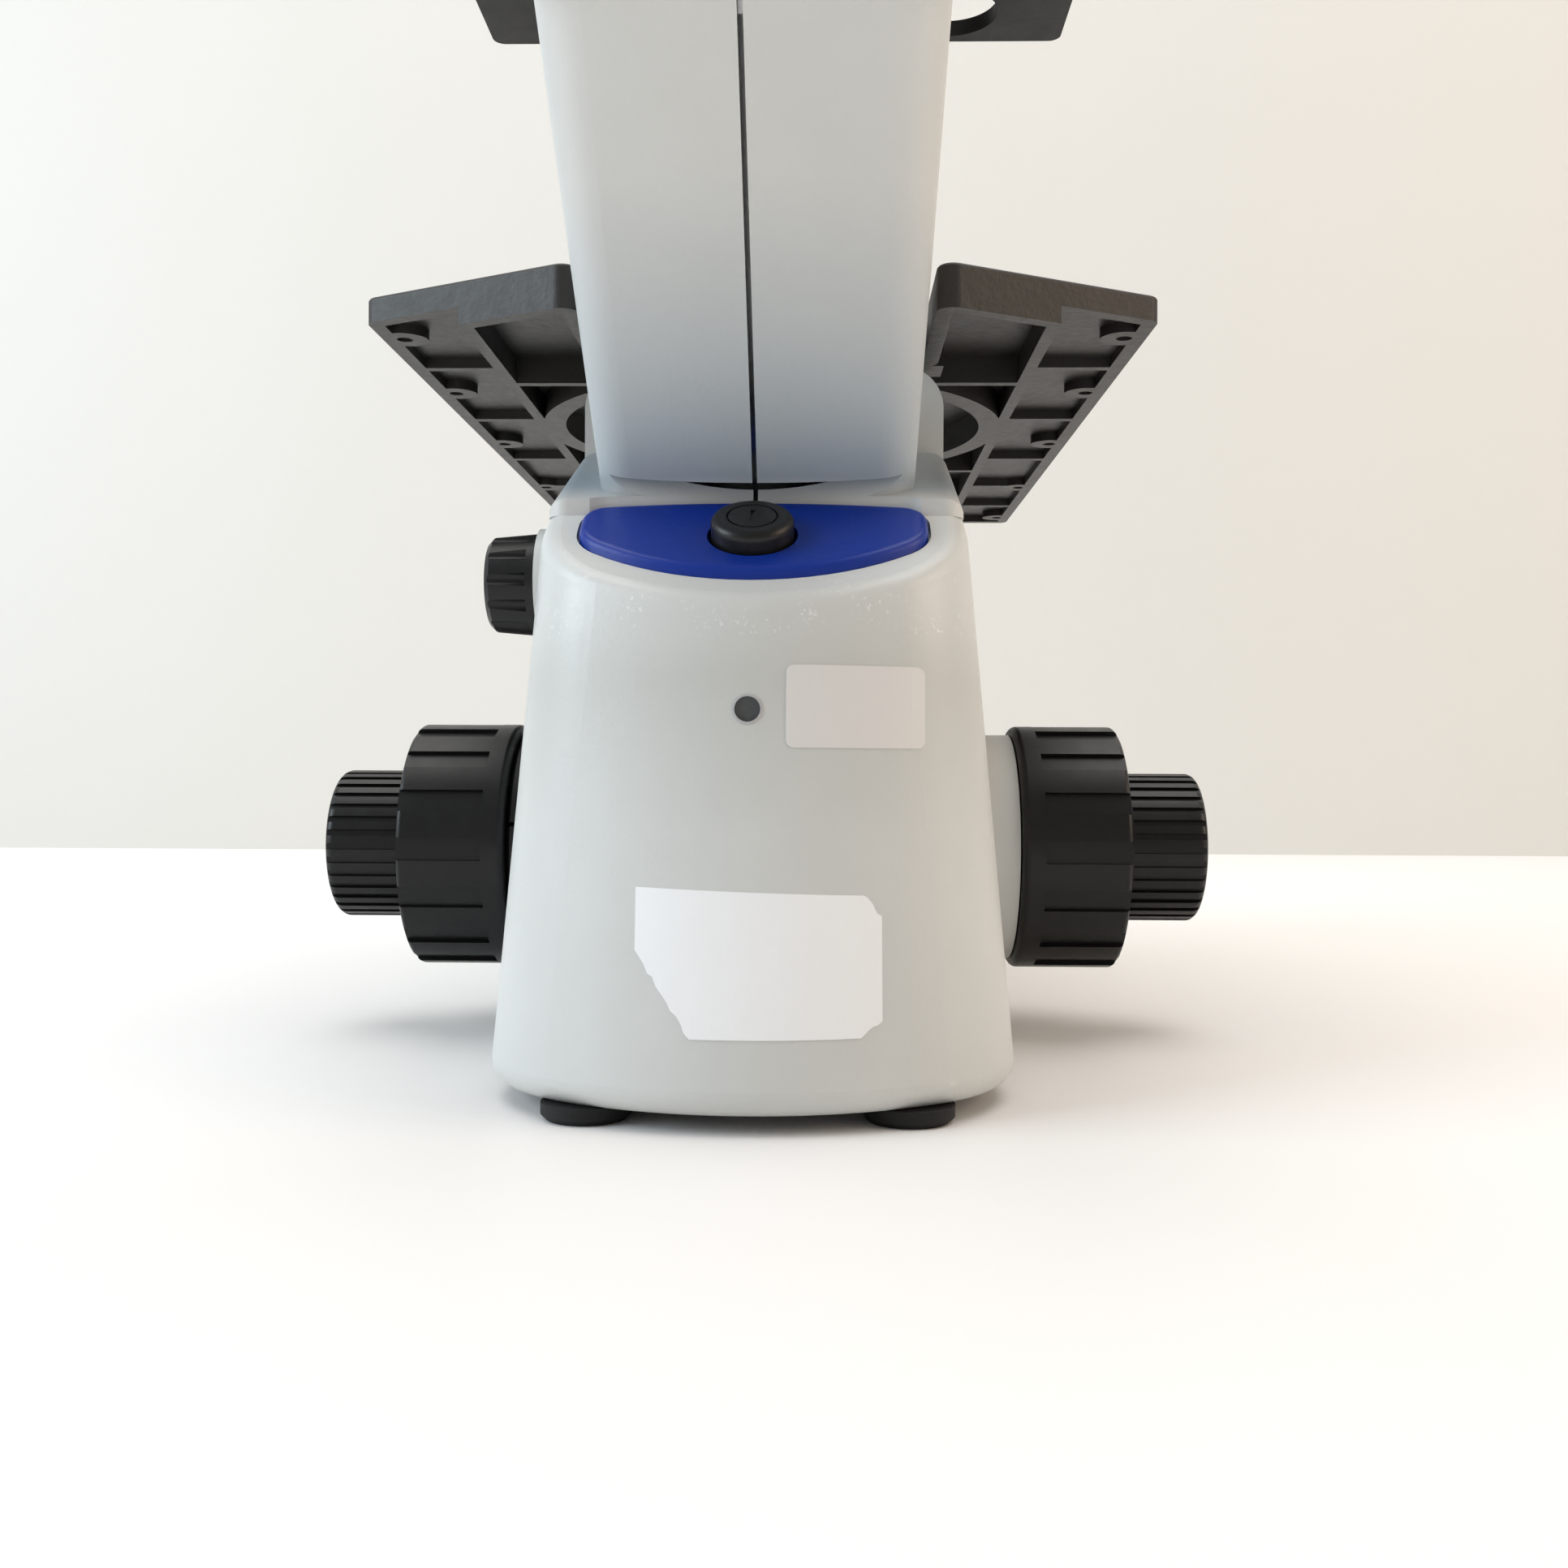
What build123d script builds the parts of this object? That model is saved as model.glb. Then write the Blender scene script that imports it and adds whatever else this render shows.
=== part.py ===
from build123d import *
import os
from math import cos, pi, radians, sin, tan

# Inverted microscope for cell culture, in millimetres. X is to the user's right, the user sits at -Y,
# and Z is up from the bench. The origin is on the bench, under the middle of the whole outline.

# Main axes
FOCUS_Y = 11.0
FOCUS_Z = 42.9
OPTIC_Y = FOCUS_Y + 34.0
MIRROR_Z = 41.0
NECK_ANGLE = 45.0
PANEL_ANGLE = 35.0
RAMP_ANGLE = 23.0
TURRET_TILT = 15.0

# General clearances
SEAT_GAP = 0.3
RUNNING_GAP = 0.05
SLIDE_GAP = 0.2
WALL = 3.5
COVER_WALL = 3.0

# Base housing
FOOT_HEIGHT = 3.0
BASE_HALF_WIDTH = 49.2
BASE_SIDE_DRAFT = 5.45
BASE_FRONT_DRAFT = 6.9
BASE_FRONT_Y = FOCUS_Y - 109.8
BASE_REAR_Y = FOCUS_Y + 205.0
BASE_FRONT_RADIUS = 60.0
BASE_FRONT_CORNER = 34.0
TOP_FRONT_RADIUS = 80.0
TOP_FRONT_CORNER = 20.0
BASE_REAR_CORNER = 18.0
BASE_BOTTOM_ROUND = 4.0
RIM_ROUND = 4.0
PARTING_Z = 108.0
BAY_FRONT_Y = FOCUS_Y + 4.0
BAY_REAR_Y = FOCUS_Y + 124.0
BAY_SLOPE_RUN = 14.0
DECK_Z = 72.0
BAY_OPENING_HALF_WIDTH = 35.0
BAY_OPENING_LENGTH = 92.0
REAR_BLOCK_Z = 100.0
PLATE_THICKNESS = 2.0
PLATE_GAP = 0.5
FOOT_RADIUS = 8.0
FOOT_STUD_RADIUS = 2.4
FOOT_FRONT_X = 28.0
FOOT_FRONT_Y = BASE_FRONT_Y + 15.5
FOOT_REAR_X = 32.0
FOOT_REAR_Y = BASE_REAR_Y - 18.0
POST_X = 33.0
POST_FRONT_Y = FOCUS_Y - 40.0
POST_REAR_Y = FOCUS_Y + 156.0
POST_RADIUS = 4.5
VENT_REAR_SETBACK = 58.0
VENT_PITCH = 6.0
VENT_COUNT = 5
VENT_LENGTH = 30.0
VENT_WIDTH = 2.4
BOARD_Y = FOCUS_Y + 84.0
BOARD_WIDTH = 56.0
BOARD_LENGTH = 60.0
BOARD_THICKNESS = 1.6
STANDOFF_HEIGHT = 8.0
STANDOFF_RADIUS = 2.5
STANDOFF_INSET = 8.0
CHIP_SIZE = 12.0
CHIP_THICKNESS = 3.0
CAPACITOR_RADIUS = 5.0
CAPACITOR_HEIGHT = 12.0
INLET_X = -24.0
INLET_Z = 22.0
INLET_RADIUS = 6.0
INLET_BORE = 3.2

DUST_THICKNESS = 1.5

# Front panel and power button
PANEL_FRONT_Y = FOCUS_Y - 93.8
PANEL_FRONT_Z = 93.7
PANEL_PROUD = 2.0
PANEL_SINK = 2.0
PANEL_HALF_WIDTH = 31.9
PANEL_LENGTH = 25.6
PANEL_BOW = 2.4
PANEL_FRONT_RADIUS = 45.0
PANEL_FRONT_CORNER = 10.0
PANEL_REAR_CORNER = 5.0
PANEL_EDGE_ROUND = 1.6
PANEL_GAP = 0.5
FLANGE_FRONT_Y = PANEL_FRONT_Y + (PARTING_Z - PANEL_FRONT_Z) / tan(radians(PANEL_ANGLE))
BUTTON_UP_SLOPE = 13.6
BUTTON_WELL_RADIUS = 8.2
BUTTON_RADIUS = 7.5
BUTTON_HOUSING_WALL = 1.5
BUTTON_PROUD = 3.4
BUTTON_TRAVEL = 2.0
BUTTON_DISC_RADIUS = 4.3
BUTTON_GROOVE_WIDTH = 0.35
BUTTON_GROOVE_DEPTH = 0.7
BUTTON_MARK_LENGTH = 4.6
BUTTON_MARK_WIDTH = 0.7
BUTTON_MARK_DEPTH = 0.3
BUTTON_EDGE_ROUND = 1.6
BUTTON_STEM_RADIUS = 3.0
SWITCH_DEPTH = 14.0
SWITCH_SPRING_ROOM = 4.0
BUTTON_REST_GAP = 1.0
SPRING_WIRE = 0.4
SPRING_TURNS = 3
SPRING_RADIUS = 4.4

# Sensor window
SENSOR_Z = 70.8
SENSOR_RADIUS = 2.2
SENSOR_RECESS = 0.5

# Neck covers and what is in them
NECK_HALF_WIDTH = 29.0
NECK_HALF_DEPTH = 24.3
NECK_FACE_BULGE = 3.0
NECK_CORNER = 7.0
NECK_FLARE = 1.0
NECK_FOOT = 100.0
NECK_START = 45.0
NECK_TOP = 215.0
FLANGE_HALF_WIDTH = 39.2
FLANGE_FRONT_Z = 111.2
FLANGE_REAR_Y = FOCUS_Y - 34.0
FLANGE_EDGE_ROUND = 4.0
SEAM_GAP = 0.9
LIGHT_TUBE_RADIUS = 15.0
LIGHT_TUBE_WALL = 2.0
LIGHT_TUBE_START = 72.0
NECK_FLANGE_THICKNESS = 5.0
TUBE_LENS_RADIUS = 11.0
TUBE_LENS_EDGE = 3.0
TUBE_LENS_SEAT = 1.2
TUBE_LENS_BULGE = 2.4
TUBE_LENS_AT = 84.0
MIRROR_WIDTH = 28.0
MIRROR_LENGTH = 30.0
MIRROR_THICKNESS = 3.0
BEAM_RADIUS = 11.0

# Stage
STAGE_TOP = 156.0
STAGE_SKIN = 3.0
STAGE_RIM_DEPTH = 5.2
STAGE_RIB_DEPTH = 8.6
STAGE_HALF_WIDTH = 80.0
STAGE_CORNER_Y = FOCUS_Y - 50.0
STAGE_REAR_Y = FOCUS_Y + 199.5
STAGE_CHEVRON = 26.6
STAGE_CORNER_ROUND = 3.0
STAGE_TOP_ROUND = 0.8
STAGE_RIM_WALL = 3.2
STAGE_RIB_WALL = 2.6
STAGE_RIB_X = 57.5
STAGE_CROSS_RIBS = (FOCUS_Y - 14.0, FOCUS_Y + 36.0, FOCUS_Y + 86.0, FOCUS_Y + 128.0, FOCUS_Y + 164.0)
STAGE_BOSS_Y = (FOCUS_Y - 38.0, FOCUS_Y + 8.0, FOCUS_Y + 65.0, FOCUS_Y + 130.0, FOCUS_Y + 188.0)
STAGE_BOSS_RADIUS = 5.0
STAGE_HOLE_RADIUS = 1.65
STAGE_HOLE_INSET = 4.6
PILLAR_NOTCH_GAP = 1.0
NOTCH_HALF_WIDTH = 34.0
NOTCH_BACK_Y = FOCUS_Y - 30.0
INSERT_RADIUS = 55.0
INSERT_LEDGE = 2.5
INSERT_THICKNESS = 2.0
INSERT_HOLE_RADIUS = 12.5
INSERT_RING_WALL = 3.0

# Stage supports
ARCH_FRONT_Y = FOCUS_Y - 29.5
ARCH_THICKNESS = 9.0
ARCH_HALF_WIDTH = 38.6
ARCH_ROUND = 9.0
ARCH_CLEARANCE = 0.6
ARCH_SCREW_X = 24.0
BRACKET_LENGTH = 20.0
BRACKET_THICKNESS = 9.0
BRACKET_SCREW_X = 18.0
SCREW_RADIUS = 2.0
SCREW_HEAD_RADIUS = 3.6
SCREW_HEAD_HEIGHT = 2.2

# Focus knobs and shafts
KNOB_INNER_X = 56.5
COARSE_RADIUS = 28.0
COARSE_WIDTH = 23.8
COARSE_FLANGE = 5.0
COARSE_OUTER_ROUND = 1.2
COARSE_INNER_ROUND = 1.6
COARSE_FLUTES = 16
COARSE_FLUTE_WIDTH = 5.0
COARSE_FLUTE_DEPTH = 1.0
FINE_RADIUS = 17.1
FINE_OUTER_X = 99.4
FINE_OUTER_ROUND = 2.0
FINE_FLANGE = 2.0
FINE_GROOVES = 34
FINE_GROOVE_WIDTH = 1.4
FINE_GROOVE_DEPTH = 0.7
COARSE_SHAFT_RADIUS = 4.2
FINE_SHAFT_RADIUS = 2.5
BUSH_WALL = 1.8
BUSH_FLANGE = 1.5
BLOCK_INNER_X = 34.5
BLOCK_OUTER_X = 40.3
BLOCK_TOP_Z = 54.0
BLOCK_FRONT_Y = FOCUS_Y - 9.0
BLOCK_FLOOR = 6.0
RING_RADIUS = 26.4
RING_INNER_X = 48.9
RING_BORE = 15.0
RING_SLIT = 1.0
RING_SLIT_ANGLE = 12.0
RING_CHAMFER = 0.8
SIDE_BOSS_RADIUS = 26.0
SIDE_BOSS_BORE = 9.0
HUB_RADIUS = 14.0
HUB_DEPTH = 3.0
KNOB_GAP = 0.4
SHAFT_IN_KNOB = 12.0

# Rack and pinion
PITCH_RADIUS = 6.0
PINION_TEETH = 15
ADDENDUM = 0.6
DEDENDUM = 0.85
TOOTH_BACKLASH = 0.35
TOOTH_ANGLE = 20.0
PINION_X = 21.0
PINION_WIDTH = 7.0
RACK_TEETH = 11
RACK_MIDDLE_Z = FOCUS_Z + 3.7

# Focus carriage and its guide
CARRIAGE_FRONT_Y = FOCUS_Y + 11.0
CARRIAGE_THICKNESS = 8.0
CARRIAGE_HALF_WIDTH = 29.5
CARRIAGE_BOTTOM_Z = 22.0
CARRIAGE_TOP_Z = 97.0
TONGUE_THICKNESS = 3.0
TONGUE_DEPTH = 2.0
RAIL_BOTTOM_Z = 16.0
WINDOW_HALF_WIDTH = 14.0
WINDOW_BOTTOM_Z = 32.0
WINDOW_TOP_Z = 86.0

# Nosepiece and objectives
PARFOCAL = 45.0
SPECIMEN_Z = STAGE_TOP + 1.1
PORT_CIRCLE = 22.0
PORT_COUNT = 4
PORT_THREAD_RADIUS = 10.16
PORT_THREAD_LENGTH = 8.0
TURRET_RADIUS = 36.0
TURRET_BOTTOM = 67.0
TURRET_BAND = 10.0
TURRET_HUB = 8.0
TURRET_SHOULDER = 2.2
TURRET_NOTCHES = 24
CARRIER_RADIUS = 28.0
CARRIER_BOTTOM = 61.0
PIVOT_RADIUS = 5.0
OBJECTIVE_RADIUS = 11.8
CARRIER_GAP = 0.3
SPOT_RADIUS = 12.3
SPOT_DEPTH = 0.3
STUB_LENGTH = 5.0
STUB_BORE = 6.0
OBJECTIVES = {"objective_low": (29.0, 7.5), "objective_middle": (34.0, 5.5), "objective_high": (40.6, 4.2)}

# Pillar and lamp
PILLAR_HALF_WIDTH = 26.0
PILLAR_FRONT_Y = FOCUS_Y + 160.0
PILLAR_REAR_Y = FOCUS_Y + 203.0
PILLAR_TOP_Z = 430.0
ARM_BOTTOM_Z = 384.0
PILLAR_BEND = 40.0
ARM_BEND = 25.0
PILLAR_EDGE_ROUND = 3.0
PILLAR_WALL = 3.0
LAMP_RADIUS = 34.0
LAMP_BOTTOM_Z = 374.0
LAMP_TOP_Z = 432.0
LENS_RADIUS = 20.0
DOVETAIL_WIDTH = 24.0
DOVETAIL_DEPTH = 5.0
RAIL_LOW_Z = 205.0
RAIL_HIGH_Z = 352.0

# Condenser
WORKING_GAP = 72.0
CONDENSER_RADIUS = 31.0
CONDENSER_HEIGHT = 62.0
SLIDER_WIDTH = 30.0
SLIDER_THICKNESS = 4.0
SLIDER_LENGTH = 150.0
SLIDER_UP = 26.0
SLIDER_PITCH = 45.0
SLIDER_HOLE_RADIUS = 12.0
CONDENSER_BORE = 16.0
LENS_LEDGE = 1.5
HOLDER_UP = 34.0
HOLDER_HEIGHT = 14.0
HOLDER_WALL = 6.0
HOLDER_ARM_WIDTH = 26.0
BLOCK_OVERHANG = 13.0
IRIS_THICKNESS = 3.0
IRIS_DEPTH = 4.0
IRIS_HANDLE = 14.0
IRIS_UP = 15.0

# Binocular head
HEAD_HALF_WIDTH = 37.0
HEAD_HALF_DEPTH = 27.0
HEAD_LENGTH = 45.0
HEAD_ROUND = 9.0
HEAD_WALL = 4.0
HINGE_RISE = 2.2
HINGE_PIN_RADIUS = 8.0
HINGE_RADIUS = 14.0
HINGE_THICKNESS = 5.5
EYE_OFFSET = 37.5
EYE_REST_ANGLE = 33.0
EYE_BODY_RADIUS = 19.0
EYE_BODY_LENGTH = 26.0
EYE_TUBE_RADIUS = 17.5
EYE_TUBE_BORE = 15.05
EYE_TUBE_LENGTH = 36.0
EYEPIECE_RADIUS = 19.5
EYEPIECE_INSERT = 26.0
EYEPIECE_HEIGHT = 28.0
EYECUP_HEIGHT = 18.0
EYE_LENS_RADIUS = 11.0
DIOPTER_START = 12.0
DIOPTER_WIDTH = 11.0
DIOPTER_RADIUS = 20.8
DIOPTER_RIBS = 30

# Dimmer dial
DIAL_Y = FOCUS_Y - 58.5
DIAL_Z = 96.7
DIAL_INNER_X = 42.7
DIAL_LENGTH = 9.6
DIAL_RADIUS = 10.0
DIAL_FLUTES = 12
DIAL_SHAFT_RADIUS = 3.0
DIAL_BOSS_RADIUS = 11.0
DIAL_HUB_RADIUS = 6.0
DIAL_HUB_LENGTH = 10.0

os.makedirs("parts", exist_ok=True)
made = []


def keep(part, name):
    """Label a finished piece and write it under its own name."""
    part.label = name
    export_step(part, f"parts/{name}.step")
    made.append(name)


# Planes that several pieces share
seat_plane = Plane(
    origin=(0, PANEL_FRONT_Y, PANEL_FRONT_Z),
    x_dir=(1, 0, 0),
    z_dir=(0, -sin(radians(PANEL_ANGLE)), cos(radians(PANEL_ANGLE))),
)
neck_plane = Plane(
    origin=(0, OPTIC_Y, MIRROR_Z),
    x_dir=(1, 0, 0),
    z_dir=(0, -sin(radians(NECK_ANGLE)), cos(radians(NECK_ANGLE))),
)
PORT_REACH = PORT_CIRCLE / sin(radians(TURRET_TILT))
APEX_Z = SPECIMEN_Z - PARFOCAL - PORT_REACH
turret_plane = Plane(
    origin=(0, OPTIC_Y, APEX_Z),
    x_dir=(1, 0, 0),
    z_dir=(0, sin(radians(TURRET_TILT)), cos(radians(TURRET_TILT))),
)
right_focus = Plane(origin=(0, FOCUS_Y, FOCUS_Z), x_dir=(0, 1, 0), z_dir=(1, 0, 0))
left_focus = Plane(origin=(0, FOCUS_Y, FOCUS_Z), x_dir=(0, 1, 0), z_dir=(-1, 0, 0))
left_dial = Plane(origin=(0, DIAL_Y, DIAL_Z), x_dir=(0, 1, 0), z_dir=(-1, 0, 0))
button_plane = Plane(
    origin=seat_plane.from_local_coords((0, BUTTON_UP_SLOPE, 0)),
    x_dir=(1, 0, 0),
    z_dir=seat_plane.z_dir,
)


def side_plane(side):
    """The focus axis, looking out of the right (1) or left (-1) side."""
    return right_focus if side > 0 else left_focus


def seat_height(y):
    """Height of the panel's seat plane at a depth y."""
    return PANEL_FRONT_Z + (y - PANEL_FRONT_Y) * tan(radians(PANEL_ANGLE))


def base_half_width(z):
    """Half the housing's width over its drafted sides at a height z."""
    return BASE_HALF_WIDTH - (z - FOOT_HEIGHT) * tan(radians(BASE_SIDE_DRAFT))


def base_outline(half, front_y, front_radius, front_corner, inset):
    """Plan of the housing at one level: a bowed front with large corners, straight sides and rear."""
    side_y = front_y + front_radius - (front_radius**2 - half**2) ** 0.5
    with BuildSketch(mode=Mode.PRIVATE) as outline:
        with BuildLine():
            ThreePointArc((-half, side_y), (0, front_y), (half, side_y))
            Polyline((half, side_y), (half, BASE_REAR_Y), (-half, BASE_REAR_Y), (-half, side_y))
        make_face()
        fillet(outline.vertices().sort_by(Axis.Y)[:2], front_corner)
        fillet(outline.vertices().sort_by(Axis.Y)[-2:], BASE_REAR_CORNER)
        if inset:
            offset(amount=-inset)
    return outline.sketch


def base_volume(inset, bottom_z):
    """The solid inside the housing's outer faces, moved inward by inset and cut off at bottom_z."""
    front_y = BASE_FRONT_Y - 5
    rear_y = BASE_REAR_Y + 5
    rise = PARTING_Z + 10 - FOOT_HEIGHT
    top_front_y = BASE_FRONT_Y + rise * tan(radians(BASE_FRONT_DRAFT))
    low = base_outline(BASE_HALF_WIDTH, BASE_FRONT_Y, BASE_FRONT_RADIUS, BASE_FRONT_CORNER, inset)
    high = base_outline(
        base_half_width(FOOT_HEIGHT + rise), top_front_y, TOP_FRONT_RADIUS, TOP_FRONT_CORNER, inset
    )
    with BuildPart(mode=Mode.PRIVATE) as volume:
        with BuildSketch(Plane.XY.offset(FOOT_HEIGHT)):
            add(low)
        with BuildSketch(Plane.XY.offset(FOOT_HEIGHT + rise)):
            add(high)
        loft(ruled=True)
        with BuildSketch(Plane.YZ):
            with BuildLine():
                Polyline(
                    (front_y, bottom_z),
                    (front_y, seat_height(front_y) - inset),
                    (FLANGE_FRONT_Y, PARTING_Z - inset),
                    (BAY_FRONT_Y - inset, PARTING_Z - inset),
                    (BAY_FRONT_Y - inset, DECK_Z - inset),
                    (BAY_REAR_Y + inset, DECK_Z - inset),
                    (BAY_REAR_Y + BAY_SLOPE_RUN + inset, REAR_BLOCK_Z - inset),
                    (rear_y, REAR_BLOCK_Z - inset),
                    (rear_y, bottom_z),
                    close=True,
                )
            make_face()
        extrude(amount=BASE_HALF_WIDTH + 5, both=True, mode=Mode.INTERSECT)
    return volume.part


def panel_outline(clearance):
    """D shape in the panel's plane: a bowed front with large corners and a slightly bowed rear chord."""
    half = PANEL_HALF_WIDTH
    side_y = PANEL_FRONT_RADIUS - (PANEL_FRONT_RADIUS**2 - half**2) ** 0.5
    with BuildSketch(seat_plane, mode=Mode.PRIVATE) as outline:
        with BuildLine():
            ThreePointArc((-half, side_y), (0, 0), (half, side_y))
            Line((half, side_y), (half, PANEL_LENGTH))
            ThreePointArc((half, PANEL_LENGTH), (0, PANEL_LENGTH + PANEL_BOW), (-half, PANEL_LENGTH))
            Line((-half, PANEL_LENGTH), (-half, side_y))
        make_face()
        fillet(outline.vertices().sort_by(Axis.Y)[:2], PANEL_FRONT_CORNER)
        fillet(outline.vertices().sort_by(Axis.Y)[-2:], PANEL_REAR_CORNER)
        if clearance:
            offset(amount=clearance)
    return outline.sketch


base_outer = base_volume(0, FOOT_HEIGHT - 1)
base_inner = base_volume(WALL, FOOT_HEIGHT - 1)

# Room for the panel, cut from the housing and from the neck covers behind it
with BuildPart() as panel_pocket:
    add(panel_outline(PANEL_GAP))
    extrude(amount=-PANEL_SINK)
    add(panel_outline(PANEL_GAP))
    extrude(amount=PANEL_PROUD + 5)


def tube(plane, start, length, outer, inner=0.0):
    """A round bar or tube along a plane's normal."""
    with BuildPart(mode=Mode.PRIVATE) as piece:
        with BuildSketch(plane.offset(start)):
            Circle(outer)
            if inner:
                Circle(inner, mode=Mode.SUBTRACT)
        extrude(amount=length)
    return piece.part


def turned(plane, points):
    """A turned piece: its half section, as (radius, height) points, revolved about a plane's normal."""
    section = Plane(origin=plane.origin, x_dir=plane.x_dir, z_dir=plane.x_dir.cross(plane.z_dir))
    with BuildPart(mode=Mode.PRIVATE) as piece:
        with BuildSketch(section):
            with BuildLine():
                Polyline(*points, close=True)
            make_face()
        revolve(axis=Axis(plane.origin, plane.z_dir))
    return piece.part


def lens(plane, radius, edge, bulge):
    """A lens that stands with its flat face on a plane; the other face is bowed."""
    section = Plane(origin=plane.origin, x_dir=plane.x_dir, z_dir=plane.x_dir.cross(plane.z_dir))
    curve = (radius**2 + bulge**2) / (2 * bulge)
    middle = edge + bulge - curve + (curve**2 - radius**2 / 4) ** 0.5
    with BuildPart(mode=Mode.PRIVATE) as piece:
        with BuildSketch(section):
            with BuildLine():
                Polyline((0, edge + bulge), (0, 0), (radius, 0), (radius, edge))
                ThreePointArc((radius, edge), (radius / 2, middle), (0, edge + bulge))
            make_face()
        revolve(axis=Axis(plane.origin, plane.z_dir))
    return piece.part


def repeated(part, places):
    """The same piece at several places."""
    with BuildPart(mode=Mode.PRIVATE) as group:
        with Locations(*places):
            add(part)
    return group.part


# Base plate, its screws and the four rubber feet
foot_rows = ((FOOT_FRONT_X, FOOT_FRONT_Y), (FOOT_REAR_X, FOOT_REAR_Y))
feet_places = [(side * x, y, 0) for side in (-1, 1) for x, y in foot_rows]
post_places = [(side * POST_X, y, 0) for side in (-1, 1) for y in (POST_FRONT_Y, POST_REAR_Y)]
plate_top = FOOT_HEIGHT + PLATE_THICKNESS
plate_outline = base_outline(
    BASE_HALF_WIDTH, BASE_FRONT_Y, BASE_FRONT_RADIUS, BASE_FRONT_CORNER, WALL + PLATE_GAP
)
with BuildPart() as base_plate:
    with BuildSketch(Plane.XY.offset(FOOT_HEIGHT)):
        add(plate_outline)
        with Locations((0, BASE_REAR_Y - VENT_REAR_SETBACK)):
            with GridLocations(1, VENT_PITCH, 1, VENT_COUNT):
                SlotOverall(VENT_LENGTH, VENT_WIDTH, mode=Mode.SUBTRACT)
        with Locations(*post_places):
            Circle(SCREW_RADIUS + SLIDE_GAP, mode=Mode.SUBTRACT)
        with Locations(*feet_places):
            Circle(FOOT_STUD_RADIUS + RUNNING_GAP, mode=Mode.SUBTRACT)
    extrude(amount=PLATE_THICKNESS)
    with Locations((0, BOARD_Y, plate_top)):
        with GridLocations(BOARD_WIDTH - STANDOFF_INSET, BOARD_LENGTH - STANDOFF_INSET, 2, 2):
            Cylinder(STANDOFF_RADIUS, STANDOFF_HEIGHT, align=(Align.CENTER, Align.CENTER, Align.MIN))
keep(base_plate.part, "base_plate")

foot = turned(
    Plane.XY,
    (
        (0, 0),
        (FOOT_RADIUS - 1, 0),
        (FOOT_RADIUS, 1),
        (FOOT_RADIUS, FOOT_HEIGHT),
        (FOOT_STUD_RADIUS, FOOT_HEIGHT),
        (FOOT_STUD_RADIUS, plate_top + 1.5),
        (0, plate_top + 1.5),
    ),
)
keep(repeated(foot, feet_places), "rubber_feet")

base_screw = turned(
    Plane.XY,
    (
        (0, FOOT_HEIGHT - SCREW_HEAD_HEIGHT),
        (SCREW_HEAD_RADIUS, FOOT_HEIGHT - SCREW_HEAD_HEIGHT),
        (SCREW_HEAD_RADIUS, FOOT_HEIGHT),
        (SCREW_RADIUS, FOOT_HEIGHT),
        (SCREW_RADIUS, plate_top + 10),
        (0, plate_top + 10),
    ),
)
keep(repeated(base_screw, post_places), "base_screws")

# Circuit board on the plate's standoffs, and the low-voltage inlet in the rear wall
board_top = plate_top + STANDOFF_HEIGHT + BOARD_THICKNESS
with BuildPart() as circuit_board:
    with BuildSketch(Plane.XY.offset(plate_top + STANDOFF_HEIGHT)):
        with Locations((0, BOARD_Y)):
            Rectangle(BOARD_WIDTH, BOARD_LENGTH)
    extrude(amount=BOARD_THICKNESS)
    with Locations((-BOARD_WIDTH / 4, BOARD_Y - BOARD_LENGTH / 4, board_top)):
        Box(CHIP_SIZE, CHIP_SIZE, CHIP_THICKNESS, align=(Align.CENTER, Align.CENTER, Align.MIN))
    with Locations((BOARD_WIDTH / 4, BOARD_Y + BOARD_LENGTH / 4, board_top)):
        Cylinder(CAPACITOR_RADIUS, CAPACITOR_HEIGHT, align=(Align.CENTER, Align.CENTER, Align.MIN))
keep(circuit_board.part, "circuit_board")

inlet_plane = Plane(origin=(INLET_X, BASE_REAR_Y, INLET_Z), x_dir=(-1, 0, 0), z_dir=(0, 1, 0))
power_inlet = turned(
    inlet_plane,
    (
        (1.0, 0.8),
        (0, 0.8),
        (0, -14),
        (INLET_RADIUS, -14),
        (INLET_RADIUS, 0),
        (INLET_RADIUS + 1.5, 0),
        (INLET_RADIUS + 1.5, 1.2),
        (INLET_BORE, 1.2),
        (INLET_BORE, -9),
        (1.0, -9),
    ),
)
keep(power_inlet, "power_inlet")

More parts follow.
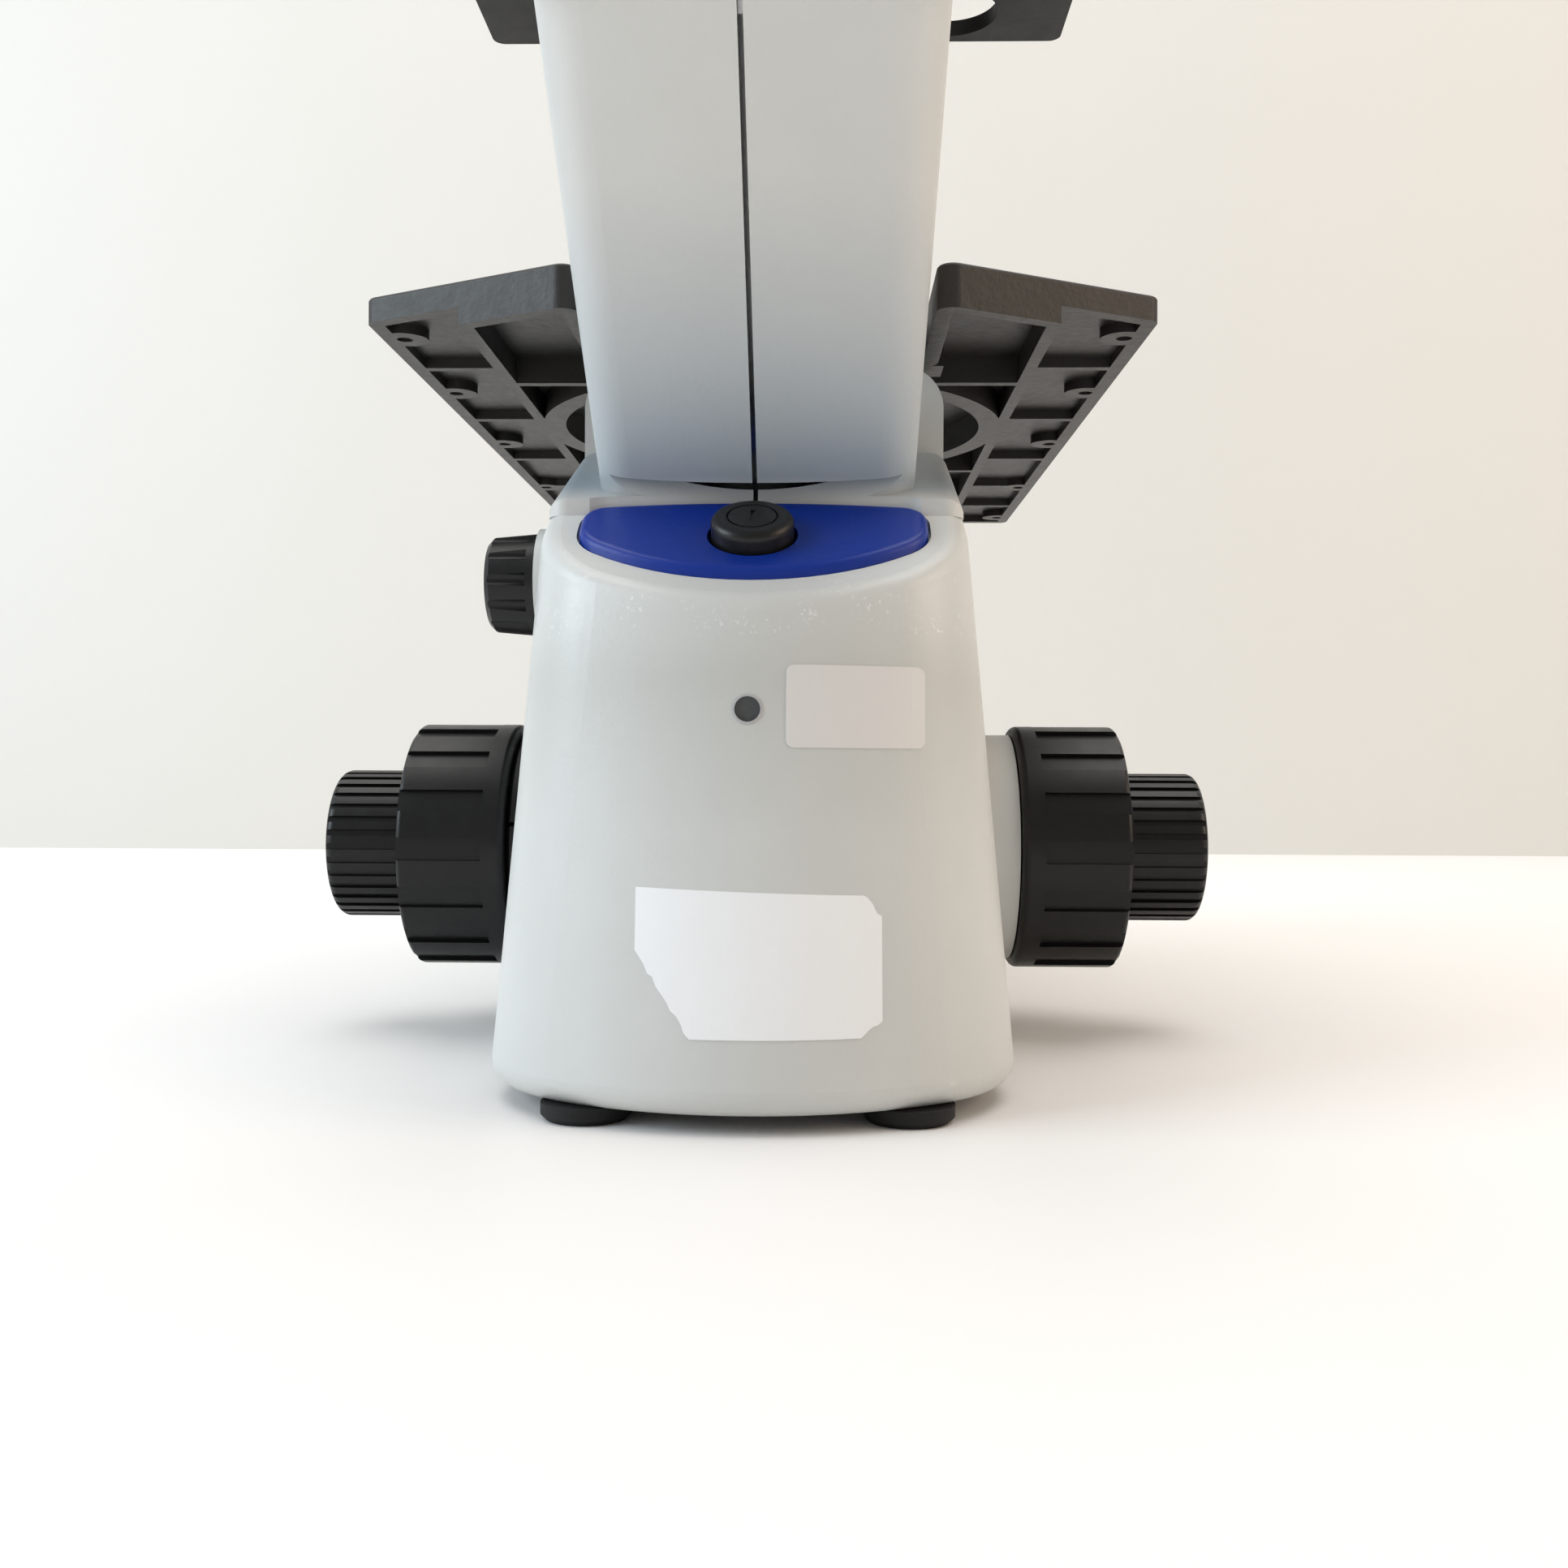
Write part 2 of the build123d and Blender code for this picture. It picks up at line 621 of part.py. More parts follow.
# Base housing, with its posts, bores and windows
with BuildPart() as posts:
    with BuildSketch(Plane.XY.offset(plate_top)):
        with Locations(*post_places):
            Circle(POST_RADIUS)
    extrude(amount=PARTING_Z)
    add(base_outer, mode=Mode.INTERSECT)
with BuildPart() as base_housing:
    add(base_outer)
    seat_edges = base_housing.faces().filter_by(seat_plane)[0].edges()
    fillet(seat_edges.sort_by(Axis.Z)[:-1], RIM_ROUND)
    fillet(base_housing.faces().sort_by(Axis.Z)[0].edges(), BASE_BOTTOM_ROUND)
    add(tube(left_dial, DIAL_INNER_X - 10, 10 - SEAT_GAP, DIAL_BOSS_RADIUS))
    add(base_inner, mode=Mode.SUBTRACT)
    add(posts.part)
    with BuildSketch(Plane.XY.offset(plate_top)):
        with Locations(*post_places):
            Circle(SCREW_RADIUS + RUNNING_GAP)
    extrude(amount=14, mode=Mode.SUBTRACT)
    add(panel_pocket.part, mode=Mode.SUBTRACT)
    add(tube(button_plane, -30, 40, BUTTON_WELL_RADIUS + BUTTON_HOUSING_WALL), mode=Mode.SUBTRACT)
    add(tube(right_focus, -BASE_HALF_WIDTH, 2 * BASE_HALF_WIDTH, SIDE_BOSS_BORE), mode=Mode.SUBTRACT)
    add(tube(left_dial, 0, BASE_HALF_WIDTH, DIAL_SHAFT_RADIUS + RUNNING_GAP), mode=Mode.SUBTRACT)
    add(tube(inlet_plane, -20, 25, INLET_RADIUS), mode=Mode.SUBTRACT)
    with BuildSketch(Plane.XZ.offset(-BASE_FRONT_Y - 20)):
        with Locations((0, SENSOR_Z)):
            Circle(SENSOR_RADIUS + RUNNING_GAP)
    extrude(amount=25, mode=Mode.SUBTRACT)
    with BuildSketch(Plane.XY.offset(DECK_Z - 10)):
        with Locations((0, BAY_FRONT_Y + BAY_OPENING_LENGTH / 2)):
            RectangleRounded(2 * BAY_OPENING_HALF_WIDTH, BAY_OPENING_LENGTH, 3)
    extrude(amount=20, mode=Mode.SUBTRACT)
    add(tube(neck_plane, 0, NECK_FOOT + 10, LIGHT_TUBE_RADIUS + SEAT_GAP), mode=Mode.SUBTRACT)
keep(base_housing.part, "base_housing")

# Sensor window: a short rod behind the front wall, its end just below the outer face
front_wall_y = BASE_FRONT_Y + (SENSOR_Z - FOOT_HEIGHT) * tan(radians(BASE_FRONT_DRAFT))
sensor_plane = Plane(origin=(0, front_wall_y, SENSOR_Z), x_dir=(1, 0, 0), z_dir=(0, -1, 0))
keep(tube(sensor_plane, -SENSOR_RECESS - 9, 9, SENSOR_RADIUS), "sensor_window")

# Dust plate under the bay's opening, with a hole for the light
with BuildPart() as dust_plate:
    with BuildSketch(Plane.XY.offset(DECK_Z - WALL - DUST_THICKNESS)):
        dust_front = CARRIAGE_FRONT_Y + CARRIAGE_THICKNESS + 1.5
        dust_rear = BAY_FRONT_Y + BAY_OPENING_LENGTH + 4
        with Locations((0, (dust_front + dust_rear) / 2)):
            Rectangle(2 * BAY_OPENING_HALF_WIDTH + 4, dust_rear - dust_front)
        with Locations((0, OPTIC_Y)):
            Circle(BEAM_RADIUS + 1, mode=Mode.SUBTRACT)
    extrude(amount=DUST_THICKNESS)
keep(dust_plate.part, "dust_plate")

# Front panel with its round well, the switch under it and the power button
with BuildPart() as front_panel:
    add(panel_outline(0))
    extrude(amount=PANEL_PROUD)
    fillet(front_panel.faces().filter_by(seat_plane).sort_by(Axis.Z)[-1].edges(), PANEL_EDGE_ROUND)
    add(panel_outline(0))
    extrude(amount=-PANEL_SINK)
    add(tube(button_plane, -30, 40, BUTTON_WELL_RADIUS), mode=Mode.SUBTRACT)
keep(front_panel.part, "front_panel")

switch_top = -PANEL_SINK - BUTTON_TRAVEL - 1.0
keep(
    turned(
        button_plane,
        (
            (BUTTON_WELL_RADIUS + BUTTON_HOUSING_WALL, -PANEL_SINK),
            (BUTTON_WELL_RADIUS + SEAT_GAP, -PANEL_SINK),
            (BUTTON_WELL_RADIUS + SEAT_GAP, switch_top - SWITCH_SPRING_ROOM),
            (BUTTON_STEM_RADIUS + SLIDE_GAP, switch_top - SWITCH_SPRING_ROOM),
            (BUTTON_STEM_RADIUS + SLIDE_GAP, switch_top - SWITCH_SPRING_ROOM - BUTTON_TRAVEL - 3),
            (0, switch_top - SWITCH_SPRING_ROOM - BUTTON_TRAVEL - 3),
            (0, -PANEL_SINK - SWITCH_DEPTH),
            (BUTTON_WELL_RADIUS + BUTTON_HOUSING_WALL - 0.3, -PANEL_SINK - SWITCH_DEPTH),
            (BUTTON_WELL_RADIUS + BUTTON_HOUSING_WALL - 0.3, -PANEL_SINK - 4),
            (BUTTON_WELL_RADIUS + BUTTON_HOUSING_WALL, -PANEL_SINK - 4),
        ),
    ),
    "switch_body",
)
with BuildPart() as button_cap:
    button_top = PANEL_PROUD + BUTTON_PROUD
    with BuildSketch(button_plane.offset(switch_top + BUTTON_REST_GAP)):
        Circle(BUTTON_RADIUS)
    extrude(amount=button_top - switch_top - BUTTON_REST_GAP)
    fillet(button_cap.edges().sort_by(Axis(button_plane.origin, button_plane.z_dir))[-1], BUTTON_EDGE_ROUND)
    with BuildSketch(button_plane.offset(button_top)):
        Circle(BUTTON_DISC_RADIUS + BUTTON_GROOVE_WIDTH)
        Circle(BUTTON_DISC_RADIUS, mode=Mode.SUBTRACT)
    extrude(amount=-BUTTON_GROOVE_DEPTH, mode=Mode.SUBTRACT)
    with BuildSketch(button_plane.offset(button_top)):
        Rectangle(BUTTON_MARK_WIDTH, BUTTON_MARK_LENGTH)
    extrude(amount=-BUTTON_MARK_DEPTH, mode=Mode.SUBTRACT)
    add(
        tube(
            button_plane,
            switch_top - SWITCH_SPRING_ROOM - 2,
            SWITCH_SPRING_ROOM + 4,
            BUTTON_STEM_RADIUS,
        )
    )
keep(button_cap.part, "button_cap")
spring_low = switch_top - SWITCH_SPRING_ROOM + SPRING_WIRE
spring_rise = SWITCH_SPRING_ROOM + BUTTON_REST_GAP - 2 * SPRING_WIRE
with BuildPart() as button_spring:
    with BuildLine() as coil:
        Helix(pitch=spring_rise / SPRING_TURNS, height=spring_rise, radius=SPRING_RADIUS)
    with BuildSketch(Plane(origin=coil.line @ 0, z_dir=coil.line % 0)):
        RegularPolygon(SPRING_WIRE, 6)
    sweep(is_frenet=True)
keep(button_plane.offset(spring_low).location * button_spring.part, "button_spring")


def neck_volume(inset, floor_z):
    """The neck's leaning prism and the flange at its foot, all faces moved inward by inset."""
    half = NECK_HALF_WIDTH - inset
    depth = NECK_HALF_DEPTH - inset
    edge = NECK_FACE_BULGE - depth
    flange_rear_z = FLANGE_FRONT_Z + (FLANGE_REAR_Y - FLANGE_FRONT_Y) * tan(radians(RAMP_ANGLE))
    with BuildPart(mode=Mode.PRIVATE) as volume:
        with BuildSketch(Plane.YZ):
            with BuildLine():
                Polyline(
                    (FLANGE_FRONT_Y + inset, floor_z),
                    (FLANGE_FRONT_Y + inset, FLANGE_FRONT_Z - inset),
                    (FLANGE_REAR_Y - inset, flange_rear_z - inset),
                    (FLANGE_REAR_Y - inset, floor_z),
                    close=True,
                )
            make_face()
        extrude(amount=FLANGE_HALF_WIDTH - inset, both=True)
        if not inset:
            flange_edges = volume.edges().filter_by(Axis.X, reverse=True)
            front_uprights = flange_edges.filter_by(Axis.Z).sort_by(Axis.Y)[:2]
            top_edges = volume.faces().sort_by(Axis.Z)[-1].edges().filter_by(Axis.X, reverse=True)
            fillet(top_edges + front_uprights, FLANGE_EDGE_ROUND)
        with BuildSketch(neck_plane.offset(NECK_START)):
            with BuildLine():
                ThreePointArc((-half, edge), (0, -depth), (half, edge))
                Polyline((half, edge), (half, depth), (-half, depth), (-half, edge))
            neck_outline = make_face()
            fillet(neck_outline.vertices(), max(NECK_CORNER - inset, 1))
        extrude(amount=NECK_TOP - NECK_START, taper=-NECK_FLARE)
        split(bisect_by=Plane.XY.offset(floor_z), keep=Keep.TOP)
    return volume.part


neck_outer = neck_volume(0, PARTING_Z)
neck_inner = neck_volume(COVER_WALL, PARTING_Z - 1)
for side, name in ((-1, "neck_cover_left"), (1, "neck_cover_right")):
    with BuildPart() as cover:
        add(neck_outer)
        add(neck_inner, mode=Mode.SUBTRACT)
        add(panel_pocket.part, mode=Mode.SUBTRACT)
        if side > 0:
            split(bisect_by=Plane.YZ.offset(SEAM_GAP / 2), keep=Keep.TOP)
        else:
            split(bisect_by=Plane.YZ.offset(-SEAM_GAP / 2), keep=Keep.BOTTOM)
    keep(cover.part, name)

# Light path in the neck: the top flange, the tube hanging from it, and the lens cell in the tube
neck_core = neck_volume(COVER_WALL + SEAT_GAP, PARTING_Z - 5)
with BuildPart() as neck_flange:
    add(neck_core)
    split(bisect_by=neck_plane.offset(NECK_TOP - NECK_FLANGE_THICKNESS), keep=Keep.TOP)
    add(
        tube(neck_plane, NECK_TOP - 10, 20, LIGHT_TUBE_RADIUS - LIGHT_TUBE_WALL),
        mode=Mode.SUBTRACT,
    )
keep(neck_flange.part, "neck_flange")
light_tube_top = NECK_TOP - NECK_FLANGE_THICKNESS
light_tube_bore = LIGHT_TUBE_RADIUS - LIGHT_TUBE_WALL
light_tube_section = (
    (TUBE_LENS_RADIUS - TUBE_LENS_SEAT, LIGHT_TUBE_START),
    (LIGHT_TUBE_RADIUS, LIGHT_TUBE_START),
    (LIGHT_TUBE_RADIUS, light_tube_top),
    (light_tube_bore, light_tube_top),
    (light_tube_bore, TUBE_LENS_AT + 2 * TUBE_LENS_EDGE),
    (TUBE_LENS_RADIUS + RUNNING_GAP, TUBE_LENS_AT + 2 * TUBE_LENS_EDGE),
    (TUBE_LENS_RADIUS + RUNNING_GAP, TUBE_LENS_AT),
    (TUBE_LENS_RADIUS - TUBE_LENS_SEAT, TUBE_LENS_AT),
)
keep(turned(neck_plane, light_tube_section), "light_tube")
keep(
    lens(neck_plane.offset(TUBE_LENS_AT), TUBE_LENS_RADIUS, TUBE_LENS_EDGE, TUBE_LENS_BULGE),
    "tube_lens",
)

# Main mirror under the objective, on a sloping holder that stands on the base plate
mirror_tilt = NECK_ANGLE / 2
mirror_plane = Plane(
    origin=(0, OPTIC_Y, MIRROR_Z),
    x_dir=(1, 0, 0),
    z_dir=(0, -sin(radians(mirror_tilt)), cos(radians(mirror_tilt))),
)
with BuildPart() as main_mirror:
    with BuildSketch(mirror_plane):
        RectangleRounded(MIRROR_WIDTH, MIRROR_LENGTH, 3)
    extrude(amount=-MIRROR_THICKNESS)
keep(main_mirror.part, "main_mirror")
with BuildPart() as mirror_holder:
    with BuildSketch(Plane.XY.offset(plate_top)):
        with Locations((0, OPTIC_Y)):
            RectangleRounded(MIRROR_WIDTH + 6, MIRROR_LENGTH * cos(radians(mirror_tilt)) - 4, 2)
    extrude(amount=MIRROR_Z)
    split(bisect_by=mirror_plane.offset(-MIRROR_THICKNESS), keep=Keep.BOTTOM)
    with BuildSketch(Plane.YZ):
        with Locations((OPTIC_Y + 2, plate_top + 11)):
            Rectangle(16, 10)
    extrude(amount=MIRROR_WIDTH, both=True, mode=Mode.SUBTRACT)
keep(mirror_holder.part, "mirror_holder")


# Stage: a skin with a lower rim, deeper ribs between the inner pair, screw bosses and the insert's ring
def stage_outline():
    """Plan of the stage: chevron front with the neck's notch, square rear with the pillar's notch."""
    front_y = STAGE_CORNER_Y - (STAGE_HALF_WIDTH - NOTCH_HALF_WIDTH) * tan(radians(STAGE_CHEVRON))
    pillar_half = PILLAR_HALF_WIDTH + PILLAR_NOTCH_GAP
    pillar_y = PILLAR_FRONT_Y - PILLAR_NOTCH_GAP
    with BuildSketch(mode=Mode.PRIVATE) as outline:
        with BuildLine():
            Polyline(
                (0, NOTCH_BACK_Y),
                (NOTCH_HALF_WIDTH, NOTCH_BACK_Y),
                (NOTCH_HALF_WIDTH, front_y),
                (STAGE_HALF_WIDTH, STAGE_CORNER_Y),
                (STAGE_HALF_WIDTH, STAGE_REAR_Y),
                (pillar_half, STAGE_REAR_Y),
                (pillar_half, pillar_y),
                (0, pillar_y),
            )
            mirror(about=Plane.YZ)
        make_face()
        fillet(outline.vertices().filter_by(lambda v: abs(v.X) > 1), STAGE_CORNER_ROUND)
    return outline.sketch


stage_plan = stage_outline()
rim_bottom = STAGE_TOP - STAGE_RIM_DEPTH
rib_bottom = STAGE_TOP - STAGE_RIB_DEPTH
skin_bottom = STAGE_TOP - STAGE_SKIN
boss_x = STAGE_HALF_WIDTH - STAGE_HOLE_INSET
boss_places = [(side * boss_x, y) for side in (-1, 1) for y in STAGE_BOSS_Y]
arch_middle_y = ARCH_FRONT_Y + ARCH_THICKNESS / 2
bracket_middle_y = PILLAR_FRONT_Y - BRACKET_LENGTH / 2
stage_screw_places = [
    (side * x, y)
    for side in (-1, 1)
    for x, y in ((ARCH_SCREW_X, arch_middle_y), (BRACKET_SCREW_X, bracket_middle_y))
]
stage_middle_y = (STAGE_CORNER_Y + STAGE_REAR_Y) / 2
stage_length = STAGE_REAR_Y - STAGE_CORNER_Y
with BuildSketch(mode=Mode.PRIVATE) as rim_frame:
    add(stage_plan)
    offset(stage_plan, amount=-STAGE_RIM_WALL, mode=Mode.SUBTRACT)
with BuildPart() as stage_plate:
    with BuildSketch(Plane.XY.offset(skin_bottom)):
        add(stage_plan)
    extrude(amount=STAGE_SKIN)
    # Outer rim, outer cross ribs and bosses, down to the rim's depth
    with BuildSketch(Plane.XY.offset(rim_bottom)):
        add(rim_frame.sketch)
        for rib_y in STAGE_CROSS_RIBS:
            with Locations((0, rib_y)):
                Rectangle(2 * STAGE_HALF_WIDTH, STAGE_RIB_WALL)
        with Locations(*boss_places):
            Circle(STAGE_BOSS_RADIUS)
        add(stage_plan, mode=Mode.INTERSECT)
    extrude(amount=skin_bottom - rim_bottom)
    # Long ribs, the middle's cross ribs, the insert's ring and the pads, down to the ribs' depth
    with BuildSketch(Plane.XY.offset(rib_bottom)):
        add(rim_frame.sketch)
        for rib_y in STAGE_CROSS_RIBS:
            with Locations((0, rib_y)):
                Rectangle(2 * STAGE_RIB_X, STAGE_RIB_WALL)
        with BuildSketch(mode=Mode.PRIVATE) as middle:
            with Locations((0, stage_middle_y)):
                Rectangle(2 * STAGE_RIB_X + STAGE_RIB_WALL, 2 * stage_length)
        add(middle.sketch, mode=Mode.INTERSECT)
        for side in (-1, 1):
            with Locations((side * STAGE_RIB_X, stage_middle_y)):
                Rectangle(STAGE_RIB_WALL, 2 * stage_length)
        with Locations((0, OPTIC_Y)):
            Circle(INSERT_RADIUS + INSERT_RING_WALL)
        with Locations((0, bracket_middle_y)):
            Rectangle(2 * PILLAR_HALF_WIDTH, BRACKET_LENGTH)
        with Locations((0, arch_middle_y)):
            Rectangle(2 * ARCH_HALF_WIDTH, ARCH_THICKNESS)
        add(stage_plan, mode=Mode.INTERSECT)
    extrude(amount=skin_bottom - rib_bottom)
    add(tube(Plane((0, OPTIC_Y, 0)), rib_bottom - 1, 20, INSERT_RADIUS - INSERT_LEDGE), mode=Mode.SUBTRACT)
    add(
        tube(Plane((0, OPTIC_Y, 0)), STAGE_TOP - INSERT_THICKNESS, 5, INSERT_RADIUS + SEAT_GAP),
        mode=Mode.SUBTRACT,
    )
    with BuildSketch(Plane.XY.offset(rim_bottom - 1)):
        with Locations(*boss_places):
            Circle(STAGE_HOLE_RADIUS)
    extrude(amount=STAGE_RIM_DEPTH, mode=Mode.SUBTRACT)
    with BuildSketch(Plane.XY.offset(rib_bottom - 1)):
        with Locations(*stage_screw_places):
            Circle(SCREW_RADIUS + SLIDE_GAP)
    extrude(amount=20, mode=Mode.SUBTRACT)
    with BuildSketch(Plane.XY.offset(STAGE_TOP - SCREW_HEAD_HEIGHT)):
        with Locations(*stage_screw_places):
            Circle(SCREW_HEAD_RADIUS + SEAT_GAP)
    extrude(amount=5, mode=Mode.SUBTRACT)
    top_rim = stage_plate.faces().sort_by(Axis.Z)[-1].outer_wire().edges()
    fillet(top_rim, STAGE_TOP_ROUND)
keep(stage_plate.part, "stage_plate")

keep(
    turned(
        Plane((0, OPTIC_Y, STAGE_TOP - INSERT_THICKNESS)),
        (
            (INSERT_HOLE_RADIUS, 0),
            (INSERT_RADIUS, 0),
            (INSERT_RADIUS, INSERT_THICKNESS),
            (INSERT_HOLE_RADIUS + 1.5, INSERT_THICKNESS),
            (INSERT_HOLE_RADIUS, INSERT_THICKNESS - 1),
        ),
    ),
    "stage_insert",
)
stage_screw = turned(
    Plane.XY,
    (
        (0, rib_bottom - 6),
        (SCREW_RADIUS, rib_bottom - 6),
        (SCREW_RADIUS, STAGE_TOP - SCREW_HEAD_HEIGHT),
        (SCREW_HEAD_RADIUS, STAGE_TOP - SCREW_HEAD_HEIGHT),
        (SCREW_HEAD_RADIUS, STAGE_TOP - 0.2),
        (SCREW_HEAD_RADIUS / 2, STAGE_TOP - 0.2),
        (SCREW_HEAD_RADIUS / 2, STAGE_TOP - 1.2),
        (0, STAGE_TOP - 1.2),
    ),
)
keep(repeated(stage_screw, [(x, y, 0) for x, y in stage_screw_places]), "stage_screws")

# Front support: an arch that straddles the neck and carries the stage in front of the insert
neck_room = neck_volume(-ARCH_CLEARANCE, PARTING_Z - 5)
with BuildPart() as stage_arch:
    with BuildSketch(Plane.XZ.offset(-ARCH_FRONT_Y - ARCH_THICKNESS)):
        with Locations((0, PARTING_Z)):
            Rectangle(
                2 * ARCH_HALF_WIDTH, rib_bottom - PARTING_Z, align=(Align.CENTER, Align.MIN)
            )
    extrude(amount=ARCH_THICKNESS)
    upper_corners = stage_arch.edges().filter_by(Axis.Y).sort_by(Axis.Z)[-2:]
    fillet(upper_corners, ARCH_ROUND)
    add(neck_room, mode=Mode.SUBTRACT)
    with BuildSketch(Plane.XY.offset(rib_bottom)):
        with Locations(*stage_screw_places):
            Circle(SCREW_RADIUS + RUNNING_GAP)
    extrude(amount=-7, mode=Mode.SUBTRACT)
keep(stage_arch.part, "stage_arch")

# Rear support: a bracket on the pillar's front, under the stage's pad
with BuildPart() as stage_bracket:
    with BuildSketch(Plane.YZ):
        with BuildLine():
            Polyline(
                (PILLAR_FRONT_Y - BRACKET_LENGTH, rib_bottom),
                (PILLAR_FRONT_Y, rib_bottom),
                (PILLAR_FRONT_Y, rib_bottom - 3 * BRACKET_THICKNESS),
                (PILLAR_FRONT_Y - 4, rib_bottom - 3 * BRACKET_THICKNESS),
                (PILLAR_FRONT_Y - BRACKET_LENGTH, rib_bottom - BRACKET_THICKNESS),
                close=True,
            )
        make_face()
    extrude(amount=PILLAR_HALF_WIDTH - 2, both=True)
    with BuildSketch(Plane.XY.offset(rib_bottom)):
        with Locations(*stage_screw_places):
            Circle(SCREW_RADIUS + RUNNING_GAP)
    extrude(amount=-7, mode=Mode.SUBTRACT)
keep(stage_bracket.part, "stage_bracket")

# Bosses on the drafted side walls; the left one carries the tension ring on a sleeve
boss_start = BLOCK_INNER_X
boss_end = KNOB_INNER_X - SEAT_GAP
boss_step = RING_INNER_X - SEAT_GAP
sleeve_radius = RING_BORE - RUNNING_GAP
with BuildPart() as side_boss_right:
    add(tube(right_focus, boss_start, boss_end - boss_start, SIDE_BOSS_RADIUS, SIDE_BOSS_BORE))
    add(base_outer, mode=Mode.SUBTRACT)
keep(side_boss_right.part, "side_boss_right")
with BuildPart() as side_boss_left:
    add(tube(left_focus, boss_start, boss_step - boss_start, SIDE_BOSS_RADIUS, SIDE_BOSS_BORE))
    add(tube(left_focus, boss_start, boss_end - boss_start, sleeve_radius, SIDE_BOSS_BORE))
    add(base_outer, mode=Mode.SUBTRACT)
keep(side_boss_left.part, "side_boss_left")
with BuildPart() as tension_ring:
    ring_section = (
        (RING_BORE, RING_INNER_X),
        (RING_RADIUS - RING_CHAMFER, RING_INNER_X),
        (RING_RADIUS, RING_INNER_X + RING_CHAMFER),
        (RING_RADIUS, boss_end - RING_CHAMFER),
        (RING_RADIUS - RING_CHAMFER, boss_end),
        (RING_BORE, boss_end),
    )
    add(turned(left_focus, ring_section))
    with BuildSketch(left_focus.offset(RING_INNER_X)):
        with PolarLocations(RING_RADIUS, 1, start_angle=180 + RING_SLIT_ANGLE):
            Rectangle(3 * (RING_RADIUS - RING_BORE), RING_SLIT)
    extrude(amount=boss_end - RING_INNER_X, mode=Mode.SUBTRACT)
keep(tension_ring.part, "tension_ring")

# Coaxial focus knobs on their shafts
coarse_outer_x = KNOB_INNER_X + COARSE_WIDTH
fine_inner_x = coarse_outer_x + KNOB_GAP
fine_width = FINE_OUTER_X - fine_inner_x
for side, word in ((-1, "left"), (1, "right")):
    plane = side_plane(side)
    with BuildPart() as coarse_knob:
        with BuildSketch(plane.offset(KNOB_INNER_X)):
            Circle(COARSE_RADIUS)
        extrude(amount=COARSE_WIDTH)
        fillet(coarse_knob.edges().sort_by(Axis.X, reverse=side > 0)[0], COARSE_OUTER_ROUND)
        fillet(coarse_knob.edges().sort_by(Axis.X, reverse=side < 0)[0], COARSE_INNER_ROUND)
        add(tube(plane, KNOB_INNER_X, HUB_DEPTH, COARSE_RADIUS - 4, HUB_RADIUS), mode=Mode.SUBTRACT)
        add(tube(plane, KNOB_INNER_X, COARSE_WIDTH, COARSE_SHAFT_RADIUS + RUNNING_GAP), mode=Mode.SUBTRACT)
        with BuildSketch(plane.offset(KNOB_INNER_X + COARSE_FLANGE)):
            with PolarLocations(COARSE_RADIUS, COARSE_FLUTES):
                Rectangle(2 * COARSE_FLUTE_DEPTH, COARSE_FLUTE_WIDTH)
        extrude(amount=COARSE_WIDTH, mode=Mode.SUBTRACT)
    keep(coarse_knob.part, f"coarse_knob_{word}")
    with BuildPart() as fine_knob:
        with BuildSketch(plane.offset(fine_inner_x)):
            Circle(FINE_RADIUS)
        extrude(amount=fine_width)
        fillet(fine_knob.edges().sort_by(Axis.X, reverse=side > 0)[0], FINE_OUTER_ROUND)
        shaft_room = tube(plane, fine_inner_x, SHAFT_IN_KNOB + SEAT_GAP, FINE_SHAFT_RADIUS + RUNNING_GAP)
        add(shaft_room, mode=Mode.SUBTRACT)
        with BuildSketch(plane.offset(fine_inner_x + FINE_FLANGE)):
            with PolarLocations(FINE_RADIUS, FINE_GROOVES):
                Rectangle(2 * FINE_GROOVE_DEPTH, FINE_GROOVE_WIDTH)
        extrude(amount=fine_width, mode=Mode.SUBTRACT)
    keep(fine_knob.part, f"fine_knob_{word}")
coarse_half = coarse_outer_x - 1
keep(
    tube(right_focus, -coarse_half, 2 * coarse_half, COARSE_SHAFT_RADIUS, FINE_SHAFT_RADIUS + RUNNING_GAP),
    "coarse_shaft",
)
fine_half = fine_inner_x + SHAFT_IN_KNOB
keep(tube(right_focus, -fine_half, 2 * fine_half, FINE_SHAFT_RADIUS), "fine_shaft")

# Pinion on the coarse shaft and the rack it drives; a pinion tooth stands in a rack gap at rest
tooth_pitch = 2 * pi * PITCH_RADIUS / PINION_TEETH
tooth_half = (tooth_pitch / 2 - TOOTH_BACKLASH) / 2
flank = tan(radians(TOOTH_ANGLE))
with BuildPart() as focus_pinion:
    with BuildSketch(Plane.YZ.offset(PINION_X - PINION_WIDTH / 2)):
        with Locations((FOCUS_Y, FOCUS_Z)):
            Circle(PITCH_RADIUS - DEDENDUM + 0.1)
            with PolarLocations(0, PINION_TEETH):
                Polygon(
                    (PITCH_RADIUS - DEDENDUM - 0.2, -tooth_half - DEDENDUM * flank),
                    (PITCH_RADIUS + ADDENDUM, -tooth_half + ADDENDUM * flank),
                    (PITCH_RADIUS + ADDENDUM, tooth_half - ADDENDUM * flank),
                    (PITCH_RADIUS - DEDENDUM - 0.2, tooth_half + DEDENDUM * flank),
                    align=None,
                )
            Circle(COARSE_SHAFT_RADIUS + RUNNING_GAP, mode=Mode.SUBTRACT)
    extrude(amount=PINION_WIDTH)
keep(focus_pinion.part, "focus_pinion")
